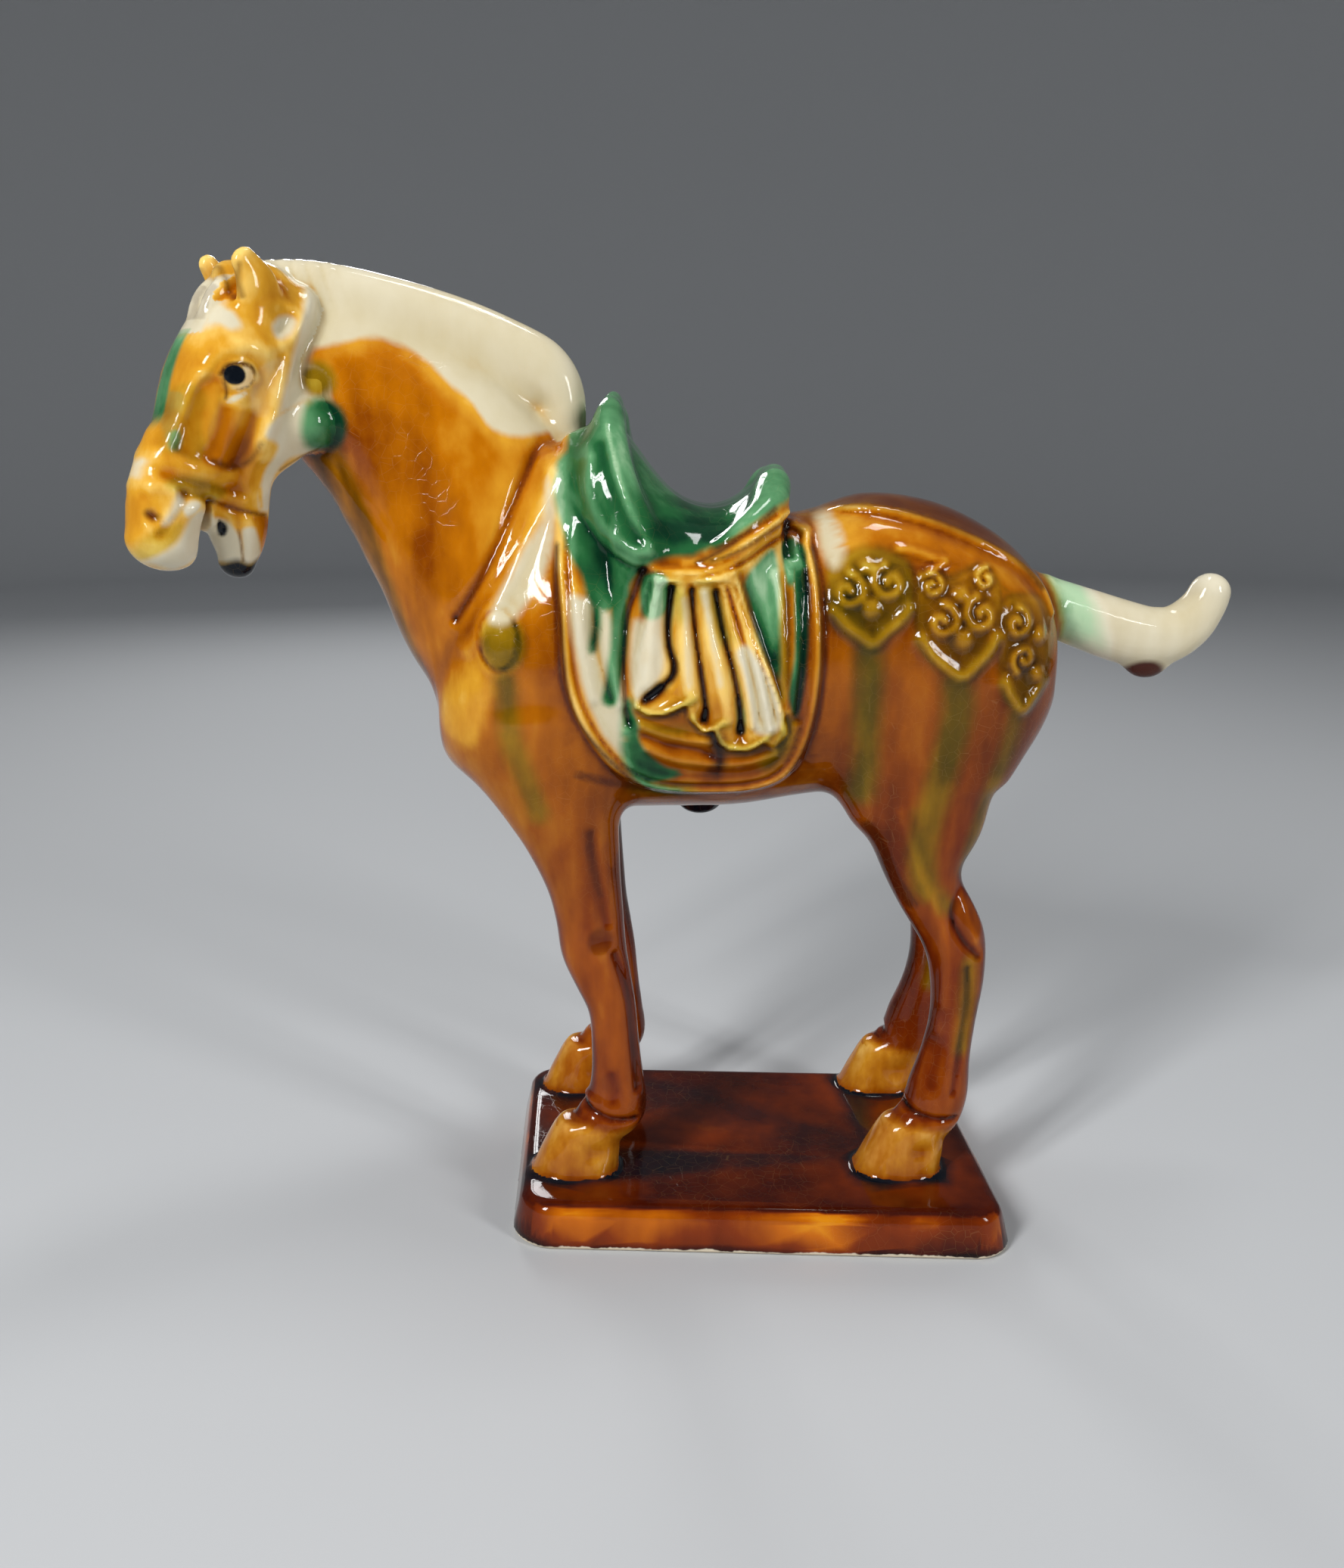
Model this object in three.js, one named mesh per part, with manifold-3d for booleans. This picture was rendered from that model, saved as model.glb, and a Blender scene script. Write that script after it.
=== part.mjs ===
// A glazed pottery horse, saddled and standing on its own slab, cast and fired as one piece.
// Millimetres, +Z up. The horse faces -X, and its left flank faces -Y.
// The origin is the middle of the slab's underside.
import * as THREE from "three";
import { mergeVertices } from "three/addons/utils/BufferGeometryUtils.js";
import Module from "manifold-3d";

const wasm = await Module();
wasm.setup();

// Driving dimensions
const horseHeight = 196; // from the slab's top to the ear tips
const slabHeight = 10;
const toeMargin = 3; // slab in front of the fore hooves
const heelMargin = 9; // slab behind the hind hooves
const nearMargin = 11; // slab beside the left hooves
const farMargin = 0.5; // slab beside the right hooves
const slabCorner = 7; // radius of the slab's corners in plan
const slabFlare = 2; // how far the sides lean out at the foot
const slabEdge = 2.6; // rounding of the top edge
const slabSkewAlong = -0.043; // the slab came out of its mould a little out of square
const slabSkewAcross = -0.05;
const hoofSink = 1.5; // depth of the hoof in the slab, so that the two are one body

// The horse's own forms are shares of its height: their tables are drawn in
// units of which a horse 196 mm tall has 196, with 0 at the middle of the slab's top.
const unitsTall = 196;
const unit = horseHeight / unitsTall;

// Stance, in the horse's units
const stance = 20.2; // middle plane to the middle of a hoof
const hoofLong = 9.6; // half the length of a hoof at the ground
const hoofWide = 7.2;
const foreHoofX = -38.6;
const hindHoofX = 33.8;
const farForeShift = -1.1; // the right legs stand a little wider than the left ones
const farHindShift = 1.4;

// The slab follows from the stance
const slabFront = (foreHoofX + farForeShift - hoofLong) * unit - toeMargin;
const slabBack = (hindHoofX + farHindShift + hoofLong) * unit + heelMargin;
const slabLength = slabBack - slabFront;
const slabDepth = (stance + hoofWide) * 2 * unit + nearMargin + farMargin;
const horseX = -(slabFront + slabBack) / 2;
const horseY = (nearMargin - farMargin) / 2;

// Row of a table at t, from 0 at its first row to 1 at its last, by Catmull-Rom in each column.
function rowAt(rows, t) {
  const place = THREE.MathUtils.clamp(t, 0, 1) * (rows.length - 1);
  const i = Math.min(Math.floor(place), rows.length - 2);
  const f = place - i;
  const [a, b, c, d] = [i - 1, i, i + 1, i + 2].map(
    (k) => rows[THREE.MathUtils.clamp(k, 0, rows.length - 1)],
  );
  return b.map(
    (v, k) =>
      v +
      0.5 * f * (c[k] - a[k] + f * (2 * a[k] - 5 * v + 4 * c[k] - d[k] + f * (3 * (v - c[k]) + d[k] - a[k]))),
  );
}

// Row of a table whose first column rises, at a value of that column.
function rowWhere(rows, value) {
  let low = 0;
  let high = 1;
  for (let k = 0; k < 30; k++) {
    const middle = (low + high) / 2;
    if (rowAt(rows, middle)[0] < value) low = middle;
    else high = middle;
  }
  return rowAt(rows, low);
}

// Signed power, for rounded-square sections.
const power = (v, p) => Math.sign(v) * Math.abs(v) ** p;

// A closed mesh from rings of equal point counts, each end closed by a fan to its own middle.
function skin(rings) {
  const sides = rings[0].length;
  const middle = (ring) =>
    ring.reduce((sum, p) => sum.add(p), new THREE.Vector3()).divideScalar(sides);
  const points = [...rings.flat(), middle(rings[0]), middle(rings.at(-1))];
  const faces = [];
  const first = sides * rings.length;
  for (let s = 0; s < sides; s++) {
    const n = (s + 1) % sides;
    for (let r = 0; r + 1 < rings.length; r++) {
      const a = r * sides;
      const b = a + sides;
      faces.push(a + s, a + n, b + n, a + s, b + n, b + s);
    }
    const last = (rings.length - 1) * sides;
    faces.push(first, n, s, first + 1, last + s, last + n);
  }
  return solid(new THREE.BufferGeometry().setFromPoints(points).setIndex(faces));
}

// A three.js geometry as a solid that can be joined and cut, in the horse's units.
function solid(geometry) {
  const bare = geometry.clone();
  for (const name of Object.keys(bare.attributes))
    if (name !== "position") bare.deleteAttribute(name);
  const merged = mergeVertices(bare, 1e-4);
  const build = (triVerts) =>
    new wasm.Manifold(
      new wasm.Mesh({
        numProp: 3,
        vertProperties: new Float32Array(merged.attributes.position.array),
        triVerts,
      }),
    );
  const faces = new Uint32Array(merged.index.array);
  const made = build(faces);
  return made.volume() > 0 ? made : build(faces.slice().reverse());
}

// Places along a form from 0 to 1, with the rounded ends stepped like a quarter circle.
function steps(count, startRound, endRound, endSteps = 4) {
  const quarter = Array.from(
    { length: endSteps },
    (_, k) => 1 - Math.cos(((k + 0.35) / endSteps) * (Math.PI / 2)),
  );
  const middle = Array.from(
    { length: count + 1 },
    (_, k) => startRound + ((1 - startRound - endRound) * k) / count,
  );
  return [
    ...(startRound ? quarter.map((q) => q * startRound) : []),
    ...middle,
    ...(endRound ? quarter.map((q) => 1 - q * endRound).reverse() : []),
  ];
}

// How much of its section a form keeps at t, where its ends are rounded.
function roundShare(t, startRound, endRound) {
  const end = (from, length) =>
    length && from < length ? Math.sqrt(1 - (1 - from / length) ** 2) : 1;
  return end(t, startRound) * end(1 - t, endRound);
}

// A form carried along a line. Rows are [x, y, z, half size across, half size in the other
// direction, pinch]: the section is an ellipse, narrowed towards its upper end by the pinch.
function limb(
  rows,
  { across = [0, 1, 0], sides = 14, count = 12, ends = [0.1, 0.1], endSteps = 4 } = {},
) {
  const acrossAxis = new THREE.Vector3(...across);
  const place = (t) => new THREE.Vector3(...rowAt(rows, t).slice(0, 3));
  return skin(
    steps(count, ...ends, endSteps).map((t) => {
      const tangent = place(t + 0.01).sub(place(t - 0.01)).normalize();
      const side = acrossAxis.clone().addScaledVector(tangent, -acrossAxis.dot(tangent)).normalize();
      const up = new THREE.Vector3().crossVectors(tangent, side);
      const [, , , wide, tall, pinch = 0] = rowAt(rows, t);
      const share = roundShare(t, ...ends);
      return Array.from({ length: sides }, (_, k) => {
        const angle = ((k + 0.5) / sides) * 2 * Math.PI;
        const rise = Math.sin(angle);
        return place(t)
          .addScaledVector(side, wide * share * Math.cos(angle) * (1 - pinch * rise))
          .addScaledVector(up, tall * share * rise);
      });
    }),
  );
}

// Trunk
// Rows are [x, z of the underside, z of the top, half width]. Its sections stand upright.
const trunk = [
  [-68, 97, 106, 5],
  [-66, 91, 113.4, 15.5],
  [-60.5, 86.5, 124, 22.5],
  [-51, 81.5, 140, 26.5],
  [-38, 80, 147, 28],
  [-20, 80.4, 145, 28.8],
  [-3, 80.8, 143.5, 28.8],
  [11, 83, 144.8, 28],
  [24, 84.4, 148.6, 27.8],
  [38, 85.4, 146.6, 28],
  [50, 88.4, 140.8, 26.5],
  [58.6, 92, 133.4, 22],
  [63.8, 99, 126.5, 15.5],
  [66, 106, 119, 6],
];
const trunkSquareness = 0.86; // 1 is an ellipse, less is squarer

function trunkSection(x) {
  const [, low, high, wide] = rowWhere(trunk, x);
  return { middle: (low + high) / 2, tall: (high - low) / 2, wide };
}

// Distance of the flank from the middle plane.
function flank(x, z) {
  const { middle, tall, wide } = trunkSection(x);
  const rise = THREE.MathUtils.clamp((z - middle) / tall, -0.995, 0.995);
  return wide * (1 - Math.abs(rise) ** (2 / trunkSquareness)) ** (trunkSquareness / 2);
}

function makeTrunk() {
  const sides = 20;
  return skin(
    steps(14, 0, 0).map((t) => {
      const x = rowAt(trunk, t)[0];
      const { middle, tall, wide } = trunkSection(x);
      return Array.from({ length: sides }, (_, k) => {
        const angle = ((k + 0.5) / sides) * 2 * Math.PI;
        return new THREE.Vector3(
          x,
          wide * power(Math.cos(angle), trunkSquareness),
          middle + tall * power(Math.sin(angle), trunkSquareness),
        );
      });
    }),
  );
}

// The same form on the right and on the left.
function pair(form) {
  return [form, form.mirror([0, 1, 0])];
}

// A sheet laid over the right flank. `at` gives [x, z, height above the flank] for shares
// u along the horse and v downwards; the sheet's back lies inside the trunk.
const sheetDepth = 4;

function sheet(uLines, vLines, at) {
  const n = uLines.length;
  const points = [];
  for (const face of [1, 0])
    for (const v of vLines)
      for (const u of uLines) {
        const [x, z, height] = at(u, v);
        points.push(new THREE.Vector3(x, flank(x, z) + (face ? height : -sheetDepth), z));
      }
  const back = n * vLines.length;
  const faces = [];
  const quad = (a, b, c, d) => faces.push(a, b, c, a, c, d);
  for (let j = 0; j + 1 < vLines.length; j++) {
    for (let i = 0; i + 1 < n; i++) {
      const a = j * n + i;
      quad(a, a + 1, a + n + 1, a + n);
      quad(back + a, back + a + n, back + a + n + 1, back + a + 1);
    }
    const left = j * n;
    const right = left + n - 1;
    quad(left, left + n, back + left + n, back + left);
    quad(right, back + right, back + right + n, right + n);
  }
  for (let i = 0; i + 1 < n; i++) {
    const low = (vLines.length - 1) * n + i;
    quad(i, back + i, back + i + 1, i + 1);
    quad(low, low + 1, back + low + 1, back + low);
  }
  return solid(new THREE.BufferGeometry().setFromPoints(points).setIndex(faces));
}

// A roll laid on the right flank through [x, z] points, half sunk.
function flankRoll(points, radius, { sides = 4, count = 4, lift = 0.2 } = {}) {
  const rows = points.map(([x, z]) => [x, flank(x, z) + lift, z, radius, radius]);
  return limb(rows, { across: [0, 0.3, 1], sides, count, ends: [0, 0] });
}

// A value read off a table of [place, value] rows with straight lines between them.
function along(rows, place) {
  const i = Math.max(1, rows.findIndex(([p], k) => k > 0 && p >= place));
  const [p0, v0] = rows[i - 1];
  const [p1, v1] = rows[i];
  return v0 + ((v1 - v0) * (place - p0)) / (p1 - p0);
}

// Neck and mane
function makeNeck() {
  const muscle = [
    [-42, 0, 116, 24, 27],
    [-50, 0, 126.5, 23.5, 27.5],
    [-57.6, 0, 140.2, 20.5, 26],
    [-64.6, -0.2, 150.4, 17.4, 24.2],
    [-72, -0.8, 158, 15, 21.4],
    [-78.6, -1.6, 163.4, 13.4, 18.4],
    [-86, -2.6, 168.6, 12, 16],
    [-94, -3.8, 172.4, 11.4, 14],
    [-102, -5.4, 173.4, 10.6, 12],
  ];
  const mane = [
    [-37, 0, 150, 5, 5],
    [-39.5, 0, 160, 5.4, 5.6],
    [-43.4, 0, 169.6, 5.6, 7],
    [-51, 0, 174.6, 5.4, 7.6],
    [-63, -0.2, 179, 5.2, 7.8],
    [-78, -1.4, 183.8, 5, 8],
    [-91, -3.2, 186.6, 4.8, 7.8],
    [-103, -5.6, 187.4, 4.6, 6.4],
  ];
  return [
    limb(muscle, { sides: 16, count: 8, ends: [0.12, 0.12], endSteps: 1 }),
    limb(mane, { sides: 6, count: 9, ends: [0.03, 0.06], endSteps: 1 }),
  ];
}

// Head. Its tables have the nose straight ahead; the head is then turned to the left.
const headTurn = THREE.MathUtils.degToRad(45);
const headPivot = [-92, -3.5]; // x and y of the upright axis it turns about

function turnHead(forms) {
  const [x, y] = headPivot;
  const turn = new THREE.Matrix4()
    .makeTranslation(x, y, 0)
    .multiply(new THREE.Matrix4().makeRotationZ(headTurn))
    .multiply(new THREE.Matrix4().makeTranslation(-x, 0, 0));
  return forms.map((form) => form.transform(turn.elements));
}

function makeHead() {
  const skull = [
    [-100, 0, 181, 9.4, 10],
    [-105.2, 0, 177.8, 10.8, 10.8],
    [-109.4, 0, 172, 11.2, 12],
    [-113.4, 0, 165.4, 10, 12],
    [-117, 0, 158.6, 8.2, 10.6],
    [-120.6, 0, 152.4, 7, 9.4],
    [-122.6, 0, 148.4, 6.6, 9],
  ];
  const muzzle = [
    [-120.5, 0, 156, 6.6, 9],
    [-124.6, 0, 149, 7.4, 9],
    [-126.6, 0, 142.6, 7.8, 8.2],
    [-127, 0, 138, 7.2, 7],
    [-126.6, 0, 133.8, 5.6, 5.4],
  ];
  const jaw = [
    [-104, 0, 164, 8.4, 10],
    [-107.6, 0, 154, 7, 8.4],
    [-110.4, 0, 145.4, 5.8, 6.4],
    [-111.4, 0, 138, 5.2, 5.8],
    [-111.8, 0, 131.6, 4, 4],
  ];
  const jowl = [
    [-103.4, -1, 163.6, 9.4, 10.6],
    [-103.4, 8, 163.6, 9, 10.2],
    [-103.4, 10.8, 163.6, 6.4, 7.4],
  ];
  const ear = [
    [-106.4, 5.8, 183, 2.8, 3.8],
    [-107.4, 6.6, 188, 2.7, 3.7],
    [-108.6, 7, 192, 2.1, 3],
    [-109.4, 7, 194.8, 1.2, 1.7],
  ];
  const forelock = [
    [-108, 2, 190, 2, 2.4],
    [-113, 2.6, 187.4, 2.2, 2.2],
    [-116.2, 2.4, 181.6, 1.6, 1.8],
  ];
  const eye = [
    [-114.4, 8.4, 171.6, 2.8, 2.6],
    [-114.4, 10.6, 171.6, 2.2, 2],
  ];
  const brow = [
    [-107.6, 9.4, 174.4, 1.4, 1.5],
    [-111.6, 10.6, 176.4, 1.8, 1.8],
    [-116.4, 9.2, 175.4, 1.7, 1.8],
    [-119.2, 6.6, 172.6, 1.2, 1.2],
  ];
  const nostril = [
    [-127, 5, 149.6, 2, 2.2],
    [-130, 5.2, 146.4, 2.4, 2.6],
    [-130.6, 4.4, 142.4, 1.8, 2],
  ];
  const noseband = [
    [-112, 7.2, 151.2, 1.6, 1.2],
    [-120.4, 7.2, 153, 1.7, 1.5],
    [-126.4, 5.4, 155.6, 1.7, 1.5],
    [-128.8, 0, 157.4, 1.7, 1.6],
    [-126.4, -5.4, 155.6, 1.7, 1.5],
    [-120.4, -7.2, 153, 1.7, 1.5],
    [-112, -7.2, 151.2, 1.6, 1.2],
  ];
  const cheekStrap = [
    [-95, 8.8, 188, 1.8, 2.6],
    [-98.4, 11, 181, 1.8, 2.8],
    [-101, 11.8, 173, 1.7, 2.2],
    [-104, 11.2, 164, 1.5, 1.7],
    [-108, 8.6, 155, 1.2, 1.4],
  ];
  const bell = [
    [-97.4, 9.6, 170, 2, 2],
    [-97.2, 11, 166.6, 3.8, 3.8],
    [-97, 11.6, 162.6, 4.4, 4.4],
    [-97, 11, 158.4, 3, 3],
  ];
  const small = { sides: 4, count: 4, ends: [0, 0] };
  const flat = { ...small, across: [1, 0, 0], sides: 7, count: 1, ends: [0, 0.5], endSteps: 1 };
  return turnHead([
    limb(skull, { sides: 14, count: 6, ends: [0.16, 0.08], endSteps: 1 }),
    limb(muzzle, { sides: 11, count: 4, ends: [0.1, 0.16], endSteps: 2 }),
    limb(jaw, { sides: 8, count: 4, ends: [0.1, 0.16], endSteps: 2 }),
    ...pair(limb(jowl, { ...flat, sides: 9, count: 1, endSteps: 2 })),
    ...pair(limb(ear, { ...small, sides: 6, count: 3 })),
    ...pair(limb(forelock, { ...small, sides: 5, count: 3 })),
    ...pair(limb(eye, flat)),
    ...pair(limb(brow, small)),
    ...pair(limb(nostril, { ...small, count: 2 })),
    limb(noseband, { ...small, count: 6 }),
    ...pair(limb(cheekStrap, { ...small, count: 3 })),
    ...pair(limb(bell, { ...small, sides: 6, count: 3 })),
  ]);
}

// Legs and tail
function makeLegs() {
  const fore = [
    [-43, 14, 100, 12, 17],
    [-42, 15.5, 90, 11, 14.4],
    [-38.5, 17, 78, 8.6, 10.6],
    [-35.9, 17.6, 67, 7, 8.1],
    [-34.6, 17.8, 58, 6.2, 7.3],
    [-34, 18, 51.8, 6.4, 7.1],
    [-32, 18.4, 45, 5.6, 6.2],
    [-30, 18.8, 38, 4.8, 5.2],
    [-29.3, 19.3, 29, 4.7, 5.3],
    [-29, 19.6, 21, 5.2, 5.9],
    [-29.6, 19.9, 15, 5.9, 6.9],
    [-33.5, 20.1, 10.6, 5.6, 5.8],
    [-36.5, 20.2, 6, 5.2, 5.4],
  ];
  const hind = [
    [40, 12, 110, 13, 21],
    [37.6, 13.5, 98, 13.2, 21],
    [35, 14.6, 87.6, 11.2, 17.5],
    [36, 15.2, 78.5, 8.6, 12.6],
    [37.6, 15.2, 70, 6.8, 9],
    [39.4, 15.1, 63.7, 6, 7.2],
    [42.6, 15.2, 58.2, 5.8, 7],
    [45.2, 15.6, 52.6, 5.8, 6.7],
    [46, 16.6, 44.5, 5, 5.9],
    [45.3, 17.6, 35.4, 4.6, 5.1],
    [43.9, 18.6, 27.1, 4.8, 5.5],
    [42.4, 19.4, 19, 5.6, 6.8],
    [41, 19.9, 13.6, 5.7, 6.4],
    [37, 20.1, 9.6, 5.4, 5.6],
    [35.4, 20.2, 6, 5.2, 5.4],
  ];
  const hoof = (middleX, lean) => {
    const levels = [
      [-hoofSink / unit, 1],
      [0.6, 1],
      [6, 0.9],
      [10, 0.72],
      [12, 0.46],
    ];
    const sides = 10;
    return skin(
      levels.map(([z, share]) =>
        Array.from({ length: sides }, (_, k) => {
          const angle = ((k + 0.5) / sides) * 2 * Math.PI;
          return new THREE.Vector3(
            middleX + (lean * Math.max(z, 0)) / 10 + hoofLong * share * power(Math.cos(angle), 0.85),
            stance + hoofWide * share * power(Math.sin(angle), 0.85),
            z,
          );
        }),
      ),
    );
  };
  const left = (form) => form.mirror([0, 1, 0]);
  const leg = (rows, hoofX, lean) => [
    limb(rows, { sides: 9, count: 12, ends: [0, 0] }),
    hoof(hoofX, lean),
  ];
  const foreLeg = leg(fore, foreHoofX, 2.6);
  const hindLeg = leg(hind, hindHoofX, 2.8);
  return [
    ...foreLeg.map(left),
    ...hindLeg.map(left),
    ...foreLeg.map((form) => form.translate([farForeShift, 0, 0])),
    ...hindLeg.map((form) => form.translate([farHindShift, 0, 0])),
  ];
}

function makeTail() {
  const tail = [
    [58, 0, 123.4, 7, 7],
    [65, 0, 122.2, 6.8, 7],
    [74, 0, 119.6, 6.4, 6.9],
    [83, 0, 117.2, 6.2, 6.7],
    [90.5, 0, 117.2, 5.8, 6.1],
    [96.4, 0, 120.6, 5.2, 5.4],
    [100, 0, 126, 4.4, 4.6],
    [101, 0, 129.6, 3.4, 3.6],
  ];
  const drip = [
    [84, 0, 112, 3.4, 4.4],
    [85, 0, 109, 2, 2.2],
  ];
  return [
    limb(tail, { sides: 8, count: 7, ends: [0, 0.1], endSteps: 2 }),
    limb(drip, { sides: 5, count: 1, ends: [0, 0.5], endSteps: 2 }),
  ];
}

// Saddle, with its high front arch, seat and rear arch
function makeSaddle() {
  const frontArch = [
    [-22, 28.8, 134, 2.6, 2],
    [-26.5, 27.4, 143, 5.2, 2.6],
    [-30.6, 21, 153.6, 7, 3],
    [-32, 12, 161, 6, 3.2],
    [-31.4, 0, 165.4, 3.2, 3.2],
    [-32, -12, 161, 6, 3.2],
    [-30.6, -21, 153.6, 7, 3],
    [-26.5, -27.4, 143, 5.2, 2.6],
    [-22, -28.8, 134, 2.6, 2],
  ];
  const rearArch = [
    [-4, 28.4, 135, 2, 2],
    [0, 24, 141, 3.4, 2.4],
    [3.6, 13, 147.6, 3.8, 2.6],
    [5, 0, 150.6, 3.2, 2.8],
    [3.6, -13, 147.6, 3.8, 2.6],
    [0, -24, 141, 3.4, 2.4],
    [-4, -28.4, 135, 2, 2],
  ];
  const seat = [
    [-32, 0, 142, 20, 18],
    [-26, 0, 138.4, 26, 15.6],
    [-17, 0, 135.4, 29, 14],
    [-9, 0, 133.6, 29.6, 12.9],
    [-2, 0, 134.8, 28, 13.4],
    [4, 0, 138, 22, 12.4],
  ];
  return [
    limb(frontArch, { across: [1, 0, 0], sides: 7, count: 12, ends: [0, 0] }),
    limb(rearArch, { across: [1, 0, 0], sides: 6, count: 10, ends: [0, 0] }),
    limb(seat, { sides: 14, count: 5, ends: [0.1, 0.1], endSteps: 1 }),
  ];
}

// Saddle blanket with a double rolled border, and the knotted, pleated cloth that hangs over it
const rollHeight = 1.8;
const rollWidth = 3.2;
const blanketFront = [
  [92, -34],
  [106, -37.2],
  [118, -38.7],
  [130, -39.6],
  [142, -40.4],
];
const blanketBack = [
  [92, 8],
  [102, 10],
  [112, 12],
  [124, 12.4],
  [135, 10.4],
  [142, 7],
];
const blanketHem = [
  [0, 107],
  [0.1, 100.6],
  [0.25, 95.4],
  [0.5, 92],
  [0.75, 94],
  [0.9, 98],
  [1, 104],
];
const blanketTop = 140;
const pleatCount = 5;
const pleatHeight = 2.6;
const clothTop = { front: -19.5, back: -6.2, z: 132.5 };
const clothHem = { front: -24.2, back: 6, z: 104, sag: 5 };

function makeBlanket() {
  const rim = [0, 0.5, 1, 1.5, 2].map((k) => k * rollWidth);
  const length = 49;
  const height = 46;
  const rows = [0, 0.3, 0.58];
  const columns = [0.3, 0.5, 0.72];
  const u = [...rim.map((r) => r / length), ...columns, ...rim.map((r) => 1 - r / length).reverse()];
  const v = [...rows, ...rim.map((r) => 1 - r / height).reverse()];
  const roll = (distance) => {
    const phase = distance / rollWidth;
    if (phase >= 2) return 0.9;
    return phase === 0 ? -0.8 : 0.2 + rollHeight * Math.abs(Math.sin(phase * Math.PI));
  };
  const blanket = sheet(u, v, (along1, down) => {
    const hem = along(blanketHem, along1);
    const z = blanketTop + (hem - blanketTop) * down;
    const front = along(blanketFront, z);
    const back = along(blanketBack, z);
    const fromEdge = Math.min(along1 * length, (1 - along1) * length, (1 - down) * height);
    return [front + (back - front) * along1, z, roll(fromEdge)];
  });
  const cloth = sheet(
    Array.from({ length: pleatCount * 2 + 1 }, (_, k) => k / (pleatCount * 2)),
    [0, 0.45, 0.9, 1],
    (across, down) => {
      const k = Math.round(across * pleatCount * 2);
      const front = clothTop.front + (clothHem.front - clothTop.front) * down ** 1.6;
      const back = clothTop.back + (clothHem.back - clothTop.back) * down;
      const hem = clothHem.z - clothHem.sag * across * down;
      const fold = k % 2 ? pleatHeight * (0.6 + 0.6 * down) : 0.7;
      const lip = down === 1 ? -0.4 : 0.8;
      const z = clothTop.z + (hem - clothTop.z) * down - (k % 2 ? 1.5 * down : 0);
      return [front + (back - front) * across, z, fold * (down === 1 ? 0.7 : 1) + lip];
    },
  );
  const knot = flankRoll([[-21.5, 133], [-13, 134.2], [-4.4, 133.2]], 2, { count: 2 });
  const flapEdge = flankRoll([[-38.4, 156], [-33.6, 144], [-24, 134.6]], 1.8);
  return [blanket, cloth, knot, flapEdge].flatMap(pair);
}

// Breast strap with an oval boss, crupper strap, and the pendants of the rump
const pendants = [
  { x: 22, z: 136, drop: 17.6, half: 8.4, lean: 0.02, scrolls: [-0.52, 0.52] },
  { x: 40.6, z: 131, drop: 18.6, half: 8.2, lean: 0.03, scrolls: [-0.52, 0.52] },
  { x: 56, z: 124, drop: 18, half: 5.4, lean: 0.03, scrolls: [0] },
];
const plateRim = 2;
const plateField = 0.9;
const scrollRadius = 2.7;
const scrollTube = 1.05;

function makeHarness() {
  const breast = [
    [-40, 24.6, 143, 1.3, 2.4],
    [-49, 23.8, 134, 1.3, 2.6],
    [-56.6, 22.4, 123, 1.3, 2.8],
    [-64, 15, 113, 1.4, 2.8],
    [-68.4, 0, 107, 1.4, 2.8],
    [-64, -15, 113, 1.4, 2.8],
    [-56.6, -22.4, 123, 1.3, 2.8],
    [-49, -23.8, 134, 1.3, 2.6],
    [-40, -24.6, 143, 1.3, 2.4],
  ];
  const boss = [
    [-50.6, 23, 120, 4, 5.6],
    [-50.6, 27.4, 120, 3.4, 4.8],
  ];
  const crupper = flankRoll([[13, 146], [28.9, 146.6], [38.9, 142.6], [49, 136.6], [59.6, 128]], 1.8, {
    count: 6,
    lift: -0.3,
  });
  const hung = pendants.flatMap(({ x, z, drop, half, lean, scrolls }) => {
    const plate = sheet([-1, -0.84, -0.6, 0, 0.6, 0.84, 1], [0, 0.1, 0.5, 0.88, 1], (u, v) => {
      const narrow = v <= 0.5 ? 1 : 1 - (0.6 * (v - 0.5)) / 0.5;
      const tip = v > 0.5 ? drop * 0.3 * (1 - Math.abs(u)) * (v - 0.5) : 0;
      const outer = Math.abs(u) === 1 || v === 0 || v === 1;
      const rim = Math.abs(u) === 0.84 || v === 0.1 || v === 0.88;
      return [
        x + u * half * narrow + lean * v * drop,
        z - drop * 0.86 * v - tip,
        outer ? -0.8 : rim ? plateRim : plateField,
      ];
    });
    const rings = scrolls.map((side) => {
      const cx = x + side * half;
      const cz = z - drop * 0.34;
      const ring = new THREE.TorusGeometry(scrollRadius, scrollTube, 3, 8);
      const normal = new THREE.Vector3(
        -(flank(cx + 1, cz) - flank(cx - 1, cz)) / 2,
        1,
        -(flank(cx, cz + 1) - flank(cx, cz - 1)) / 2,
      ).normalize();
      ring.applyQuaternion(
        new THREE.Quaternion().setFromUnitVectors(new THREE.Vector3(0, 0, 1), normal),
      );
      ring.translate(cx, flank(cx, cz) + 1.5, cz);
      return solid(ring);
    });
    return [plate, ...rings];
  });
  return [
    limb(breast, { sides: 4, count: 12, ends: [0, 0] }),
    ...pair(limb(boss, { across: [1, 0, 0], sides: 7, count: 1, ends: [0, 0.5], endSteps: 1 })),
    ...[crupper, ...hung].flatMap(pair),
  ];
}

// The whole horse on its slab
function joinAll(forms) {
  return wasm.Manifold.union(forms);
}

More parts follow.
